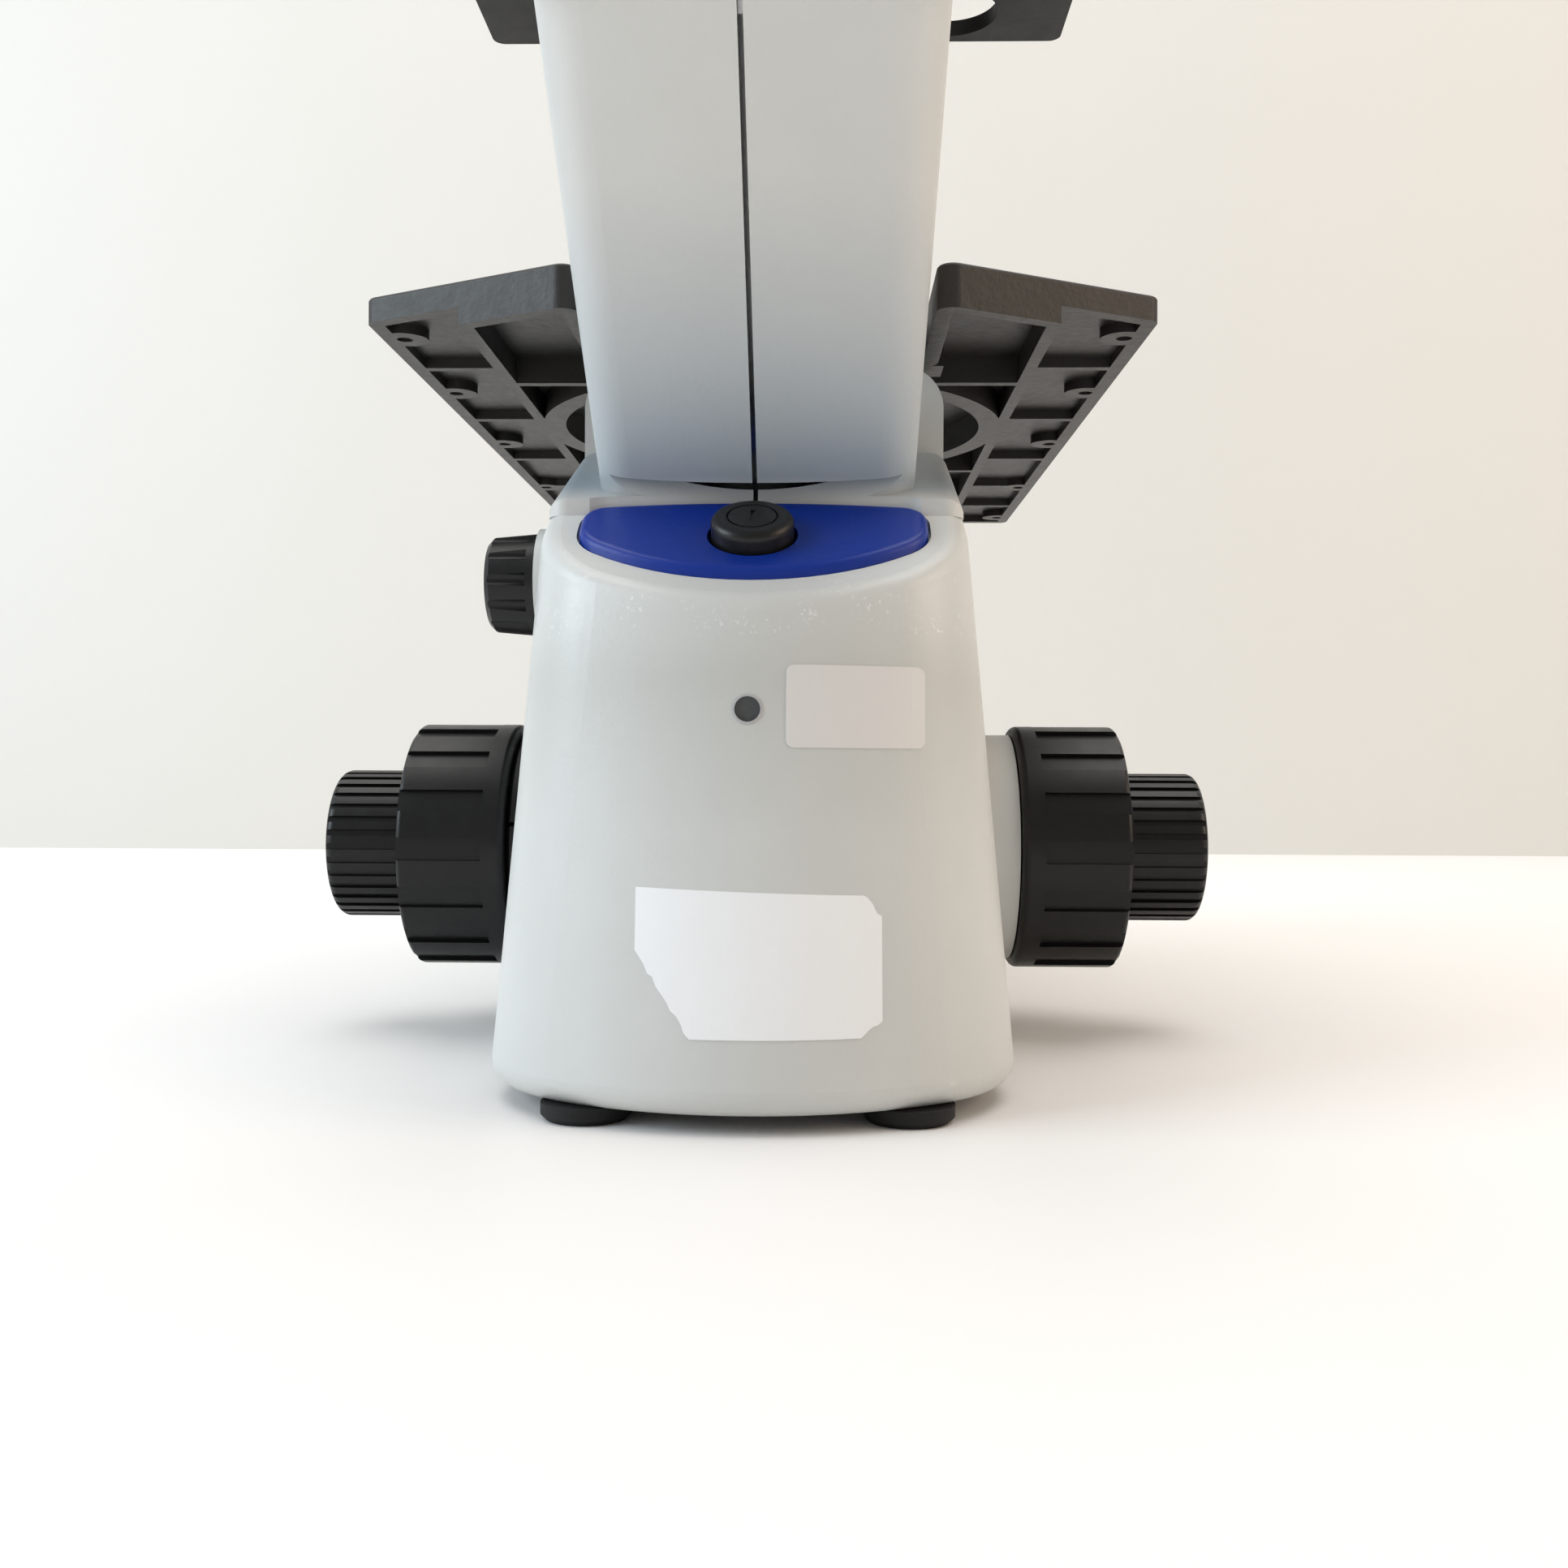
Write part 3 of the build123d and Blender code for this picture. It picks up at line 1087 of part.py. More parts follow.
with BuildPart() as focus_rack:
    rack_root_y = FOCUS_Y + PITCH_RADIUS + DEDENDUM
    rack_length = (RACK_TEETH + 1) * tooth_pitch
    with BuildSketch(Plane.YZ.offset(PINION_X - PINION_WIDTH / 2 - 0.5)):
        with Locations(((rack_root_y + CARRIAGE_FRONT_Y) / 2, RACK_MIDDLE_Z)):
            Rectangle(CARRIAGE_FRONT_Y - rack_root_y, rack_length)
        first_tooth = round((RACK_MIDDLE_Z - FOCUS_Z) / tooth_pitch - RACK_TEETH / 2)
        for tooth in range(first_tooth, first_tooth + RACK_TEETH):
            with Locations((FOCUS_Y + PITCH_RADIUS, FOCUS_Z + (tooth + 0.5) * tooth_pitch)):
                Polygon(
                    (DEDENDUM + 0.1, -tooth_half - DEDENDUM * flank),
                    (-ADDENDUM, -tooth_half + ADDENDUM * flank),
                    (-ADDENDUM, tooth_half - ADDENDUM * flank),
                    (DEDENDUM + 0.1, tooth_half + DEDENDUM * flank),
                    align=None,
                )
    extrude(amount=PINION_WIDTH + 1)
keep(focus_rack.part, "focus_rack")

# Focus block on the base plate: two uprights that carry the shaft's bushes and the guide rails
bush_radius = COARSE_SHAFT_RADIUS + RUNNING_GAP + BUSH_WALL
carriage_rear_y = CARRIAGE_FRONT_Y + CARRIAGE_THICKNESS
with BuildPart() as focus_block:
    with BuildSketch(Plane.XZ.offset(-BLOCK_FRONT_Y)):
        with BuildLine():
            Polyline(
                (0, plate_top),
                (BLOCK_OUTER_X, plate_top),
                (BLOCK_OUTER_X, BLOCK_TOP_Z),
                (BLOCK_INNER_X, BLOCK_TOP_Z),
                (BLOCK_INNER_X, plate_top + BLOCK_FLOOR),
                (0, plate_top + BLOCK_FLOOR),
            )
            mirror(about=Plane.YZ)
        make_face()
    extrude(amount=BLOCK_FRONT_Y - carriage_rear_y)
    add(tube(right_focus, -BLOCK_OUTER_X - 1, 2 * BLOCK_OUTER_X + 2, bush_radius), mode=Mode.SUBTRACT)
keep(focus_block.part, "focus_block")
bush = turned(
    right_focus,
    (
        (COARSE_SHAFT_RADIUS + RUNNING_GAP, BLOCK_INNER_X - BUSH_FLANGE),
        (bush_radius + 2, BLOCK_INNER_X - BUSH_FLANGE),
        (bush_radius + 2, BLOCK_INNER_X),
        (bush_radius, BLOCK_INNER_X),
        (bush_radius, BLOCK_OUTER_X),
        (COARSE_SHAFT_RADIUS + RUNNING_GAP, BLOCK_OUTER_X),
    ),
)
with BuildPart() as shaft_bushes:
    add(bush)
    mirror(bush, about=Plane.YZ)
keep(shaft_bushes.part, "shaft_bushes")
rail_inner_x = CARRIAGE_HALF_WIDTH + SLIDE_GAP
tongue_middle_y = CARRIAGE_FRONT_Y + CARRIAGE_THICKNESS / 2
with BuildPart() as guide_rails:
    with BuildSketch(Plane.XY.offset(RAIL_BOTTOM_Z)):
        with Locations(((rail_inner_x + BLOCK_INNER_X) / 2, tongue_middle_y)):
            Rectangle(BLOCK_INNER_X - rail_inner_x, CARRIAGE_THICKNESS)
        with Locations((rail_inner_x, tongue_middle_y)):
            Rectangle(
                2 * (TONGUE_DEPTH + SLIDE_GAP), TONGUE_THICKNESS + 2 * SLIDE_GAP, mode=Mode.SUBTRACT
            )
    extrude(amount=BLOCK_TOP_Z - RAIL_BOTTOM_Z)
    mirror(about=Plane.YZ)
keep(guide_rails.part, "guide_rails")

# Carriage: a guided upright plate with a window for the light and a tilted table for the nosepiece
port_cos = cos(radians(TURRET_TILT))
port_tan = tan(radians(TURRET_TILT))
port_height = PORT_REACH * port_cos
turret_top = port_height + (PORT_CIRCLE - TURRET_HUB) * port_tan
with BuildPart() as focus_carriage:
    with BuildSketch(Plane.XY.offset(CARRIAGE_BOTTOM_Z)):
        with Locations((0, tongue_middle_y)):
            Rectangle(2 * CARRIAGE_HALF_WIDTH, CARRIAGE_THICKNESS)
            Rectangle(2 * (CARRIAGE_HALF_WIDTH + TONGUE_DEPTH), TONGUE_THICKNESS)
    extrude(amount=CARRIAGE_TOP_Z - CARRIAGE_BOTTOM_Z)
    with BuildSketch(turret_plane.offset(CARRIER_BOTTOM)):
        Circle(CARRIER_RADIUS)
        with Locations((0, -CARRIER_RADIUS)):
            Rectangle(2 * CARRIER_RADIUS, 2 * CARRIER_RADIUS)
    extrude(amount=TURRET_BOTTOM - CARRIER_GAP - CARRIER_BOTTOM)
    split(bisect_by=turret_plane.offset(TURRET_BOTTOM - CARRIER_GAP), keep=Keep.BOTTOM)
    split(bisect_by=Plane.XZ.offset(-CARRIAGE_FRONT_Y), keep=Keep.BOTTOM)
    with BuildSketch(Plane.XZ.offset(-CARRIAGE_FRONT_Y)):
        with Locations((0, (WINDOW_BOTTOM_Z + WINDOW_TOP_Z) / 2)):
            RectangleRounded(2 * WINDOW_HALF_WIDTH, WINDOW_TOP_Z - WINDOW_BOTTOM_Z, 4)
    extrude(amount=-CARRIAGE_THICKNESS, mode=Mode.SUBTRACT)
    add(tube(Plane((0, OPTIC_Y, 0)), MIRROR_Z, PARFOCAL + 20, BEAM_RADIUS - 1), mode=Mode.SUBTRACT)
    pivot_section = (
        (0, CARRIER_BOTTOM + 2),
        (PIVOT_RADIUS, CARRIER_BOTTOM + 2),
        (PIVOT_RADIUS, turret_top + SEAT_GAP),
        (PIVOT_RADIUS + 2, turret_top + SEAT_GAP),
        (PIVOT_RADIUS + 2, turret_top + 2.5),
        (0, turret_top + 2.5),
    )
    add(turned(turret_plane, pivot_section))
keep(focus_carriage.part, "focus_carriage")

# Nosepiece: a ring with four threaded ports that all look at the same point, one of them left open
shoulder_radius = TURRET_RADIUS - TURRET_SHOULDER
shoulder_height = port_height - (shoulder_radius - PORT_CIRCLE) * port_tan
turret_section = (
    (PIVOT_RADIUS + RUNNING_GAP, TURRET_BOTTOM),
    (TURRET_RADIUS, TURRET_BOTTOM),
    (TURRET_RADIUS, TURRET_BOTTOM + TURRET_BAND),
    (shoulder_radius, shoulder_height),
    (TURRET_HUB, turret_top),
    (PIVOT_RADIUS + RUNNING_GAP, turret_top),
)


def port_plane(turn):
    """The plane of one port, its normal along the port's axis, with its origin at the common apex."""
    lean = sin(radians(TURRET_TILT))
    direction = (
        turret_plane.x_dir * (lean * cos(radians(turn)))
        + turret_plane.y_dir * (lean * sin(radians(turn)))
        + turret_plane.z_dir * port_cos
    )
    return Plane(origin=turret_plane.origin, z_dir=direction)


port_planes = [port_plane(-90 + 360 / PORT_COUNT * port) for port in range(PORT_COUNT)]
seat_reach = PORT_REACH - SPOT_DEPTH
with BuildPart() as nosepiece_ring:
    add(turned(turret_plane, turret_section))
    with BuildSketch(turret_plane.offset(TURRET_BOTTOM)):
        with PolarLocations(TURRET_RADIUS + 1.2, TURRET_NOTCHES):
            Circle(2.2)
    extrude(amount=TURRET_BAND, mode=Mode.SUBTRACT)
    for plane in port_planes:
        port_section = (
            (0, seat_reach - PORT_THREAD_LENGTH - 16),
            (PORT_THREAD_RADIUS + 0.8, seat_reach - PORT_THREAD_LENGTH - 16),
            (PORT_THREAD_RADIUS + 0.8, seat_reach - PORT_THREAD_LENGTH),
            (PORT_THREAD_RADIUS, seat_reach - PORT_THREAD_LENGTH),
            (PORT_THREAD_RADIUS, seat_reach),
            (SPOT_RADIUS, seat_reach),
            (SPOT_RADIUS, seat_reach + 6),
            (0, seat_reach + 6),
        )
        add(turned(plane, port_section), mode=Mode.SUBTRACT)
keep(nosepiece_ring.part, "nosepiece_ring")

# Objectives: a stub in the port's thread, a shoulder on the spot face and a tapered nose with its lens
for plane, (name, (length, nose)) in zip(port_planes[1::-1] + port_planes[3:], OBJECTIVES.items()):
    tip = seat_reach + length
    objective_section = (
        (STUB_BORE, seat_reach - STUB_LENGTH),
        (PORT_THREAD_RADIUS - SEAT_GAP, seat_reach - STUB_LENGTH),
        (PORT_THREAD_RADIUS - SEAT_GAP, seat_reach),
        (OBJECTIVE_RADIUS, seat_reach),
        (OBJECTIVE_RADIUS, seat_reach + 5),
        (OBJECTIVE_RADIUS - 0.5, seat_reach + 5.5),
        (OBJECTIVE_RADIUS - 0.5, seat_reach + 8),
        (OBJECTIVE_RADIUS, seat_reach + 8.5),
        (OBJECTIVE_RADIUS, seat_reach + 0.55 * length),
        (OBJECTIVE_RADIUS - 2, seat_reach + 0.55 * length + 2),
        (OBJECTIVE_RADIUS - 2, seat_reach + 0.8 * length),
        (nose, tip),
        (0.5 * nose, tip),
        (0.4 * nose, tip - 0.6),
        (0, tip - 0.6),
        (0, tip - 4),
        (STUB_BORE, tip - 4 - STUB_BORE / 2),
    )
    keep(turned(plane, objective_section), name)

# Pillar: a hollow upright with an arm forward to the lamp house
optic_axis = Plane((0, OPTIC_Y, 0))
arm_front_y = OPTIC_Y + LAMP_RADIUS / 2


def pillar_volume(inset):
    """The pillar and its arm, faces moved inward by inset; the inner one is open at both ends."""
    foot_z = REAR_BLOCK_Z - (5 if inset else 0)
    front_y = arm_front_y - (20 if inset else 0)
    rear_y = PILLAR_REAR_Y - inset
    inner_y = PILLAR_FRONT_Y + inset
    half = PILLAR_HALF_WIDTH - inset
    with BuildPart(mode=Mode.PRIVATE) as volume:
        with BuildSketch(Plane.YZ.offset(-half)) as profile:
            with BuildLine():
                Polyline(
                    (front_y, PILLAR_TOP_Z - inset),
                    (rear_y, PILLAR_TOP_Z - inset),
                    (rear_y, foot_z),
                    (inner_y, foot_z),
                    (inner_y, ARM_BOTTOM_Z + inset),
                    (front_y, ARM_BOTTOM_Z + inset),
                    close=True,
                )
            make_face()
            outer_bend = profile.vertices().sort_by_distance((rear_y, PILLAR_TOP_Z))[0]
            fillet(outer_bend, PILLAR_BEND - inset)
            inner_bend = profile.vertices().sort_by_distance((inner_y, ARM_BOTTOM_Z))[0]
            fillet(inner_bend, ARM_BEND + inset)
        extrude(amount=2 * half)
    return volume.part


pillar_outside = pillar_volume(0)
pillar_inside = pillar_volume(PILLAR_WALL)
with BuildPart() as pillar_housing:
    add(pillar_outside)
    side_edges = pillar_housing.faces().filter_by(Axis.X).edges()
    long_edges = side_edges.filter_by_position(Axis.Z, REAR_BLOCK_Z + 1, PILLAR_TOP_Z + 1)
    long_edges = long_edges.filter_by_position(Axis.Y, arm_front_y + 1, PILLAR_REAR_Y + 1)
    fillet(long_edges, PILLAR_EDGE_ROUND)
    add(pillar_inside, mode=Mode.SUBTRACT)
    add(tube(optic_axis, LAMP_BOTTOM_Z - 10, 80, LAMP_RADIUS + RUNNING_GAP), mode=Mode.SUBTRACT)
keep(pillar_housing.part, "pillar_housing")

# Lamp house with its board and the collector lens
lens_seat_z = LAMP_BOTTOM_Z + PILLAR_WALL
board_seat_z = LAMP_BOTTOM_Z + 26
lamp_inner = LAMP_RADIUS - PILLAR_WALL
lamp_section = (
    (LENS_RADIUS - LENS_LEDGE, LAMP_BOTTOM_Z),
    (LAMP_RADIUS - 2, LAMP_BOTTOM_Z),
    (LAMP_RADIUS, LAMP_BOTTOM_Z + 2),
    (LAMP_RADIUS, LAMP_TOP_Z - 4),
    (LAMP_RADIUS - 4, LAMP_TOP_Z),
    (0, LAMP_TOP_Z),
    (0, LAMP_TOP_Z - PILLAR_WALL),
    (lamp_inner - 3, LAMP_TOP_Z - PILLAR_WALL),
    (lamp_inner, LAMP_TOP_Z - PILLAR_WALL - 3),
    (lamp_inner, board_seat_z),
    (lamp_inner - 4, board_seat_z),
    (lamp_inner - 4, board_seat_z - 3),
    (lamp_inner, board_seat_z - 3),
    (lamp_inner, lens_seat_z),
    (LENS_RADIUS + 2.5, lens_seat_z),
    (LENS_RADIUS + 2.5, lens_seat_z + 3),
    (LENS_RADIUS + RUNNING_GAP, lens_seat_z + 3),
    (LENS_RADIUS + RUNNING_GAP, lens_seat_z),
    (LENS_RADIUS - LENS_LEDGE, lens_seat_z),
)
keep(turned(optic_axis, lamp_section), "lamp_house")
with BuildPart() as lamp_board:
    add(tube(optic_axis, board_seat_z, 2, lamp_inner - SEAT_GAP))
    with Locations((0, OPTIC_Y, board_seat_z)):
        Box(9, 9, 1.5, align=(Align.CENTER, Align.CENTER, Align.MAX))
    for fin in range(-3, 4):
        with Locations((6 * fin, OPTIC_Y, board_seat_z + 2)):
            Box(1.6, 34, 16, align=(Align.CENTER, Align.CENTER, Align.MIN))
keep(lamp_board.part, "lamp_board")
keep(lens(Plane((0, OPTIC_Y, lens_seat_z)), LENS_RADIUS, 3, 7), "collector_lens")

# Condenser's dovetail rail on the pillar, and the carrier that slides on it


def dovetail(clearance):
    """Section of the rail, widest at its front, grown by clearance."""
    half = DOVETAIL_WIDTH / 2
    with BuildSketch(mode=Mode.PRIVATE) as section:
        with BuildLine():
            Polyline(
                (-half + DOVETAIL_DEPTH - 1 - clearance, PILLAR_FRONT_Y + clearance),
                (-half - clearance, PILLAR_FRONT_Y - DOVETAIL_DEPTH - clearance),
                (half + clearance, PILLAR_FRONT_Y - DOVETAIL_DEPTH - clearance),
                (half - DOVETAIL_DEPTH + 1 + clearance, PILLAR_FRONT_Y + clearance),
                close=True,
            )
        make_face()
    return section.sketch


rail_section = dovetail(0)
rail_room = dovetail(SLIDE_GAP)
with BuildPart() as condenser_rail:
    with BuildSketch(Plane.XY.offset(RAIL_LOW_Z)):
        add(rail_section)
    extrude(amount=RAIL_HIGH_Z - RAIL_LOW_Z)
keep(condenser_rail.part, "condenser_rail")

condenser_low = STAGE_TOP + WORKING_GAP
holder_low = condenser_low + HOLDER_UP
holder_high = holder_low + HOLDER_HEIGHT
with BuildPart() as condenser_carrier:
    with BuildSketch(Plane.XY.offset(holder_low)):
        with Locations((0, OPTIC_Y)):
            Circle(CONDENSER_RADIUS + HOLDER_WALL)
        with Locations((0, (OPTIC_Y + PILLAR_FRONT_Y) / 2)):
            Rectangle(HOLDER_ARM_WIDTH, PILLAR_FRONT_Y - OPTIC_Y - 2)
    extrude(amount=HOLDER_HEIGHT)
    with BuildSketch(Plane.XY.offset(holder_low - BLOCK_OVERHANG)):
        with Locations((0, PILLAR_FRONT_Y - 0.5)):
            Rectangle(DOVETAIL_WIDTH + 14, DOVETAIL_DEPTH + 11, align=(Align.CENTER, Align.MAX))
    extrude(amount=HOLDER_HEIGHT + 2 * BLOCK_OVERHANG)
    with BuildSketch(Plane.XY.offset(holder_low - BLOCK_OVERHANG - 1)):
        add(rail_room)
    extrude(amount=HOLDER_HEIGHT + 2 * BLOCK_OVERHANG + 2, mode=Mode.SUBTRACT)
    holder_bore = tube(optic_axis, holder_low, HOLDER_HEIGHT, CONDENSER_RADIUS + RUNNING_GAP)
    add(holder_bore, mode=Mode.SUBTRACT)
keep(condenser_carrier.part, "condenser_carrier")

iris_z = condenser_low + IRIS_UP
condenser_section = (
    (CONDENSER_BORE - LENS_LEDGE, condenser_low),
    (CONDENSER_RADIUS - 7, condenser_low),
    (CONDENSER_RADIUS, condenser_low + 6),
    (CONDENSER_RADIUS, iris_z - SLIDE_GAP),
    (CONDENSER_RADIUS - IRIS_DEPTH, iris_z - SLIDE_GAP),
    (CONDENSER_RADIUS - IRIS_DEPTH, iris_z + IRIS_THICKNESS + SLIDE_GAP),
    (CONDENSER_RADIUS, iris_z + IRIS_THICKNESS + SLIDE_GAP),
    (CONDENSER_RADIUS, holder_high),
    (CONDENSER_RADIUS + 3, holder_high),
    (CONDENSER_RADIUS + 3, holder_high + 4),
    (CONDENSER_RADIUS, holder_high + 4),
    (CONDENSER_RADIUS, condenser_low + CONDENSER_HEIGHT),
    (CONDENSER_BORE + RUNNING_GAP, condenser_low + CONDENSER_HEIGHT),
    (CONDENSER_BORE + RUNNING_GAP, condenser_low + PILLAR_WALL),
    (CONDENSER_BORE - LENS_LEDGE, condenser_low + PILLAR_WALL),
)
with BuildPart() as condenser_body:
    add(turned(optic_axis, condenser_section))
    with Locations((0, OPTIC_Y, condenser_low + SLIDER_UP + SLIDER_THICKNESS / 2)):
        Box(
            SLIDER_LENGTH,
            SLIDER_WIDTH + 2 * SLIDE_GAP,
            SLIDER_THICKNESS + 2 * SLIDE_GAP,
            mode=Mode.SUBTRACT,
        )
keep(condenser_body.part, "condenser_body")
keep(lens(Plane((0, OPTIC_Y, condenser_low + PILLAR_WALL)), CONDENSER_BORE, 3, 6), "condenser_lens")
with BuildPart() as iris_lever:
    with BuildSketch(Plane.XY.offset(iris_z)):
        with Locations((0, OPTIC_Y)):
            Circle(CONDENSER_RADIUS + 1)
        with Locations((0, OPTIC_Y - CONDENSER_RADIUS - IRIS_HANDLE / 2)):
            SlotOverall(IRIS_HANDLE + 4, 5, rotation=90)
        with Locations((0, OPTIC_Y)):
            Circle(CONDENSER_RADIUS - IRIS_DEPTH + RUNNING_GAP, mode=Mode.SUBTRACT)
    extrude(amount=IRIS_THICKNESS)
keep(iris_lever.part, "iris_lever")
with BuildPart() as phase_slider:
    with BuildSketch(Plane.XY.offset(condenser_low + SLIDER_UP)):
        with Locations((0, OPTIC_Y)):
            RectangleRounded(SLIDER_LENGTH, SLIDER_WIDTH, 3)
            with GridLocations(SLIDER_PITCH, 1, 3, 1):
                Circle(SLIDER_HOLE_RADIUS, mode=Mode.SUBTRACT)
    extrude(amount=SLIDER_THICKNESS)
keep(phase_slider.part, "phase_slider")

# Binocular head on the neck's flange, with the pin for the two eyepiece arms
head_low = NECK_TOP + SEAT_GAP
head_high = head_low + HEAD_LENGTH
head_origin = neck_plane.offset(head_low)
with BuildPart() as binocular_housing:
    with BuildSketch(head_origin):
        RectangleRounded(2 * HEAD_HALF_WIDTH, 2 * HEAD_HALF_DEPTH, HEAD_ROUND)
    extrude(amount=HEAD_LENGTH)
    fillet(binocular_housing.faces().filter_by(neck_plane).sort_by(Axis.Z)[-1].edges(), HEAD_ROUND - 2)
    with BuildSketch(neck_plane.offset(head_low + HEAD_WALL)):
        RectangleRounded(
            2 * (HEAD_HALF_WIDTH - HEAD_WALL), 2 * (HEAD_HALF_DEPTH - HEAD_WALL), HEAD_ROUND - HEAD_WALL
        )
    extrude(amount=HEAD_LENGTH - 2 * HEAD_WALL, mode=Mode.SUBTRACT)
    add(tube(neck_plane, head_low, HEAD_WALL, light_tube_bore), mode=Mode.SUBTRACT)
    hinge_low = head_high + HINGE_RISE
    hinge_high = hinge_low + 2 * HINGE_THICKNESS + 3 * SEAT_GAP
    pin_section = (
        (0, head_high - 1),
        (HINGE_RADIUS + 4, head_high - 1),
        (HINGE_RADIUS + 4, hinge_low),
        (HINGE_PIN_RADIUS, hinge_low),
        (HINGE_PIN_RADIUS, hinge_high),
        (HINGE_PIN_RADIUS + 3, hinge_high),
        (HINGE_PIN_RADIUS + 3, hinge_high + 2),
        (0, hinge_high + 2),
    )
    add(turned(neck_plane, pin_section))
keep(binocular_housing.part, "binocular_housing")

# Eyepiece arms: a tongue on the pin and a body with the tube for the eyepiece
arm_low = hinge_low + SEAT_GAP
body_high = arm_low + EYE_BODY_LENGTH
tube_high = body_high + EYE_TUBE_LENGTH
eye_x = EYE_OFFSET * cos(radians(EYE_REST_ANGLE))
eye_y = EYE_OFFSET * sin(radians(EYE_REST_ANGLE))
for side, word in ((-1, "left"), (1, "right")):
    eye_plane = Plane(
        origin=neck_plane.from_local_coords((side * eye_x, eye_y, 0)),
        x_dir=(1, 0, 0),
        z_dir=neck_plane.z_dir,
    )
    tongue_low = arm_low if side < 0 else arm_low + HINGE_THICKNESS + SEAT_GAP
    with BuildPart() as eyepiece_arm:
        with BuildSketch(neck_plane.offset(tongue_low)):
            Circle(HINGE_RADIUS)
            with Locations((side * eye_x, eye_y)):
                Circle(EYE_BODY_RADIUS - 1)
            make_hull()
        extrude(amount=HINGE_THICKNESS)
        add(tube(eye_plane, arm_low, EYE_BODY_LENGTH, EYE_BODY_RADIUS))
        add(tube(eye_plane, body_high, EYE_TUBE_LENGTH, EYE_TUBE_RADIUS))
        add(tube(eye_plane, arm_low + HEAD_WALL, tube_high - arm_low, EYE_TUBE_BORE), mode=Mode.SUBTRACT)
        pin_room = tube(neck_plane, arm_low, hinge_high - arm_low, HINGE_PIN_RADIUS + RUNNING_GAP)
        add(pin_room, mode=Mode.SUBTRACT)
    keep(eyepiece_arm.part, f"eyepiece_arm_{word}")
    head_end = tube_high + EYEPIECE_HEIGHT
    cup_end = head_end + EYECUP_HEIGHT
    eyepiece_section = (
        (0, tube_high - EYEPIECE_INSERT),
        (EYE_TUBE_BORE - RUNNING_GAP, tube_high - EYEPIECE_INSERT),
        (EYE_TUBE_BORE - RUNNING_GAP, tube_high),
        (EYEPIECE_RADIUS, tube_high),
        (EYEPIECE_RADIUS, head_end - 1),
        (EYEPIECE_RADIUS - 1.5, head_end),
        (EYEPIECE_RADIUS - 1.5, cup_end - 2),
        (EYEPIECE_RADIUS - 2.5, cup_end),
        (EYEPIECE_RADIUS - 4, cup_end),
        (EYE_LENS_RADIUS + 1, head_end),
        (EYE_LENS_RADIUS, head_end),
        (EYE_LENS_RADIUS, head_end - 3),
        (0, head_end - 1.5),
    )
    keep(turned(eye_plane, eyepiece_section), f"eyepiece_{word}")
    if side < 0:
        with BuildPart() as diopter_ring:
            ring_low = body_high + DIOPTER_START
            add(tube(eye_plane, ring_low, DIOPTER_WIDTH, DIOPTER_RADIUS, EYE_TUBE_RADIUS + RUNNING_GAP))
            with BuildSketch(eye_plane.offset(ring_low)):
                with PolarLocations(DIOPTER_RADIUS, DIOPTER_RIBS):
                    Rectangle(1.2, 1.6)
            extrude(amount=DIOPTER_WIDTH, mode=Mode.SUBTRACT)
        keep(diopter_ring.part, "diopter_ring")

# Light dial: a fluted knob with its shaft through the housing's wall and a retaining hub inside
dial_end = DIAL_INNER_X + DIAL_LENGTH
inner_face = base_half_width(DIAL_Z) - WALL
dial_section = (
    (0, inner_face - DIAL_HUB_LENGTH),
    (DIAL_HUB_RADIUS, inner_face - DIAL_HUB_LENGTH),
    (DIAL_HUB_RADIUS, inner_face - 2),
    (DIAL_SHAFT_RADIUS, inner_face - 2),
    (DIAL_SHAFT_RADIUS, DIAL_INNER_X),
    (DIAL_RADIUS, DIAL_INNER_X),
    (DIAL_RADIUS - 0.75, dial_end - 1),
    (DIAL_RADIUS - 1.75, dial_end),
    (0, dial_end),
)
with BuildPart() as light_dial:
    add(turned(left_dial, dial_section))
    with BuildSketch(left_dial.offset(DIAL_INNER_X + 1.5)):
        with PolarLocations(DIAL_RADIUS + 0.2, DIAL_FLUTES):
            Circle(1.3)
    extrude(amount=DIAL_LENGTH, mode=Mode.SUBTRACT)
keep(light_dial.part, "light_dial")
print(len(made), "pieces")
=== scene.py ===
import random
from math import pi, radians

import bmesh
import bpy
from mathutils import Matrix, Vector
from mathutils.bvhtree import BVHTree


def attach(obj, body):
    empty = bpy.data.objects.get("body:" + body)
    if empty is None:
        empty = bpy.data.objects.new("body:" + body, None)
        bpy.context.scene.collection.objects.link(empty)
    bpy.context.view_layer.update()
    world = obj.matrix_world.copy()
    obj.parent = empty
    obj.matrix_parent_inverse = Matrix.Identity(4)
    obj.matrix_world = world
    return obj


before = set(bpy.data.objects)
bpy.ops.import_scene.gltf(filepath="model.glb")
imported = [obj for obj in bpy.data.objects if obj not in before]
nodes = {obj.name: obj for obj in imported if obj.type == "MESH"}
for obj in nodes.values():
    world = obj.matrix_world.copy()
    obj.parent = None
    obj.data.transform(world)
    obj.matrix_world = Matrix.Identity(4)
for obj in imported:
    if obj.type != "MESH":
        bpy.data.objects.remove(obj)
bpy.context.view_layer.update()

# Pillar, lamp house, eyepiece housing, stage supports and the boss behind the right knob.
# Die-cast and moulded covers, sprayed with a light grey two-layer paint that dries to a fine orange peel.


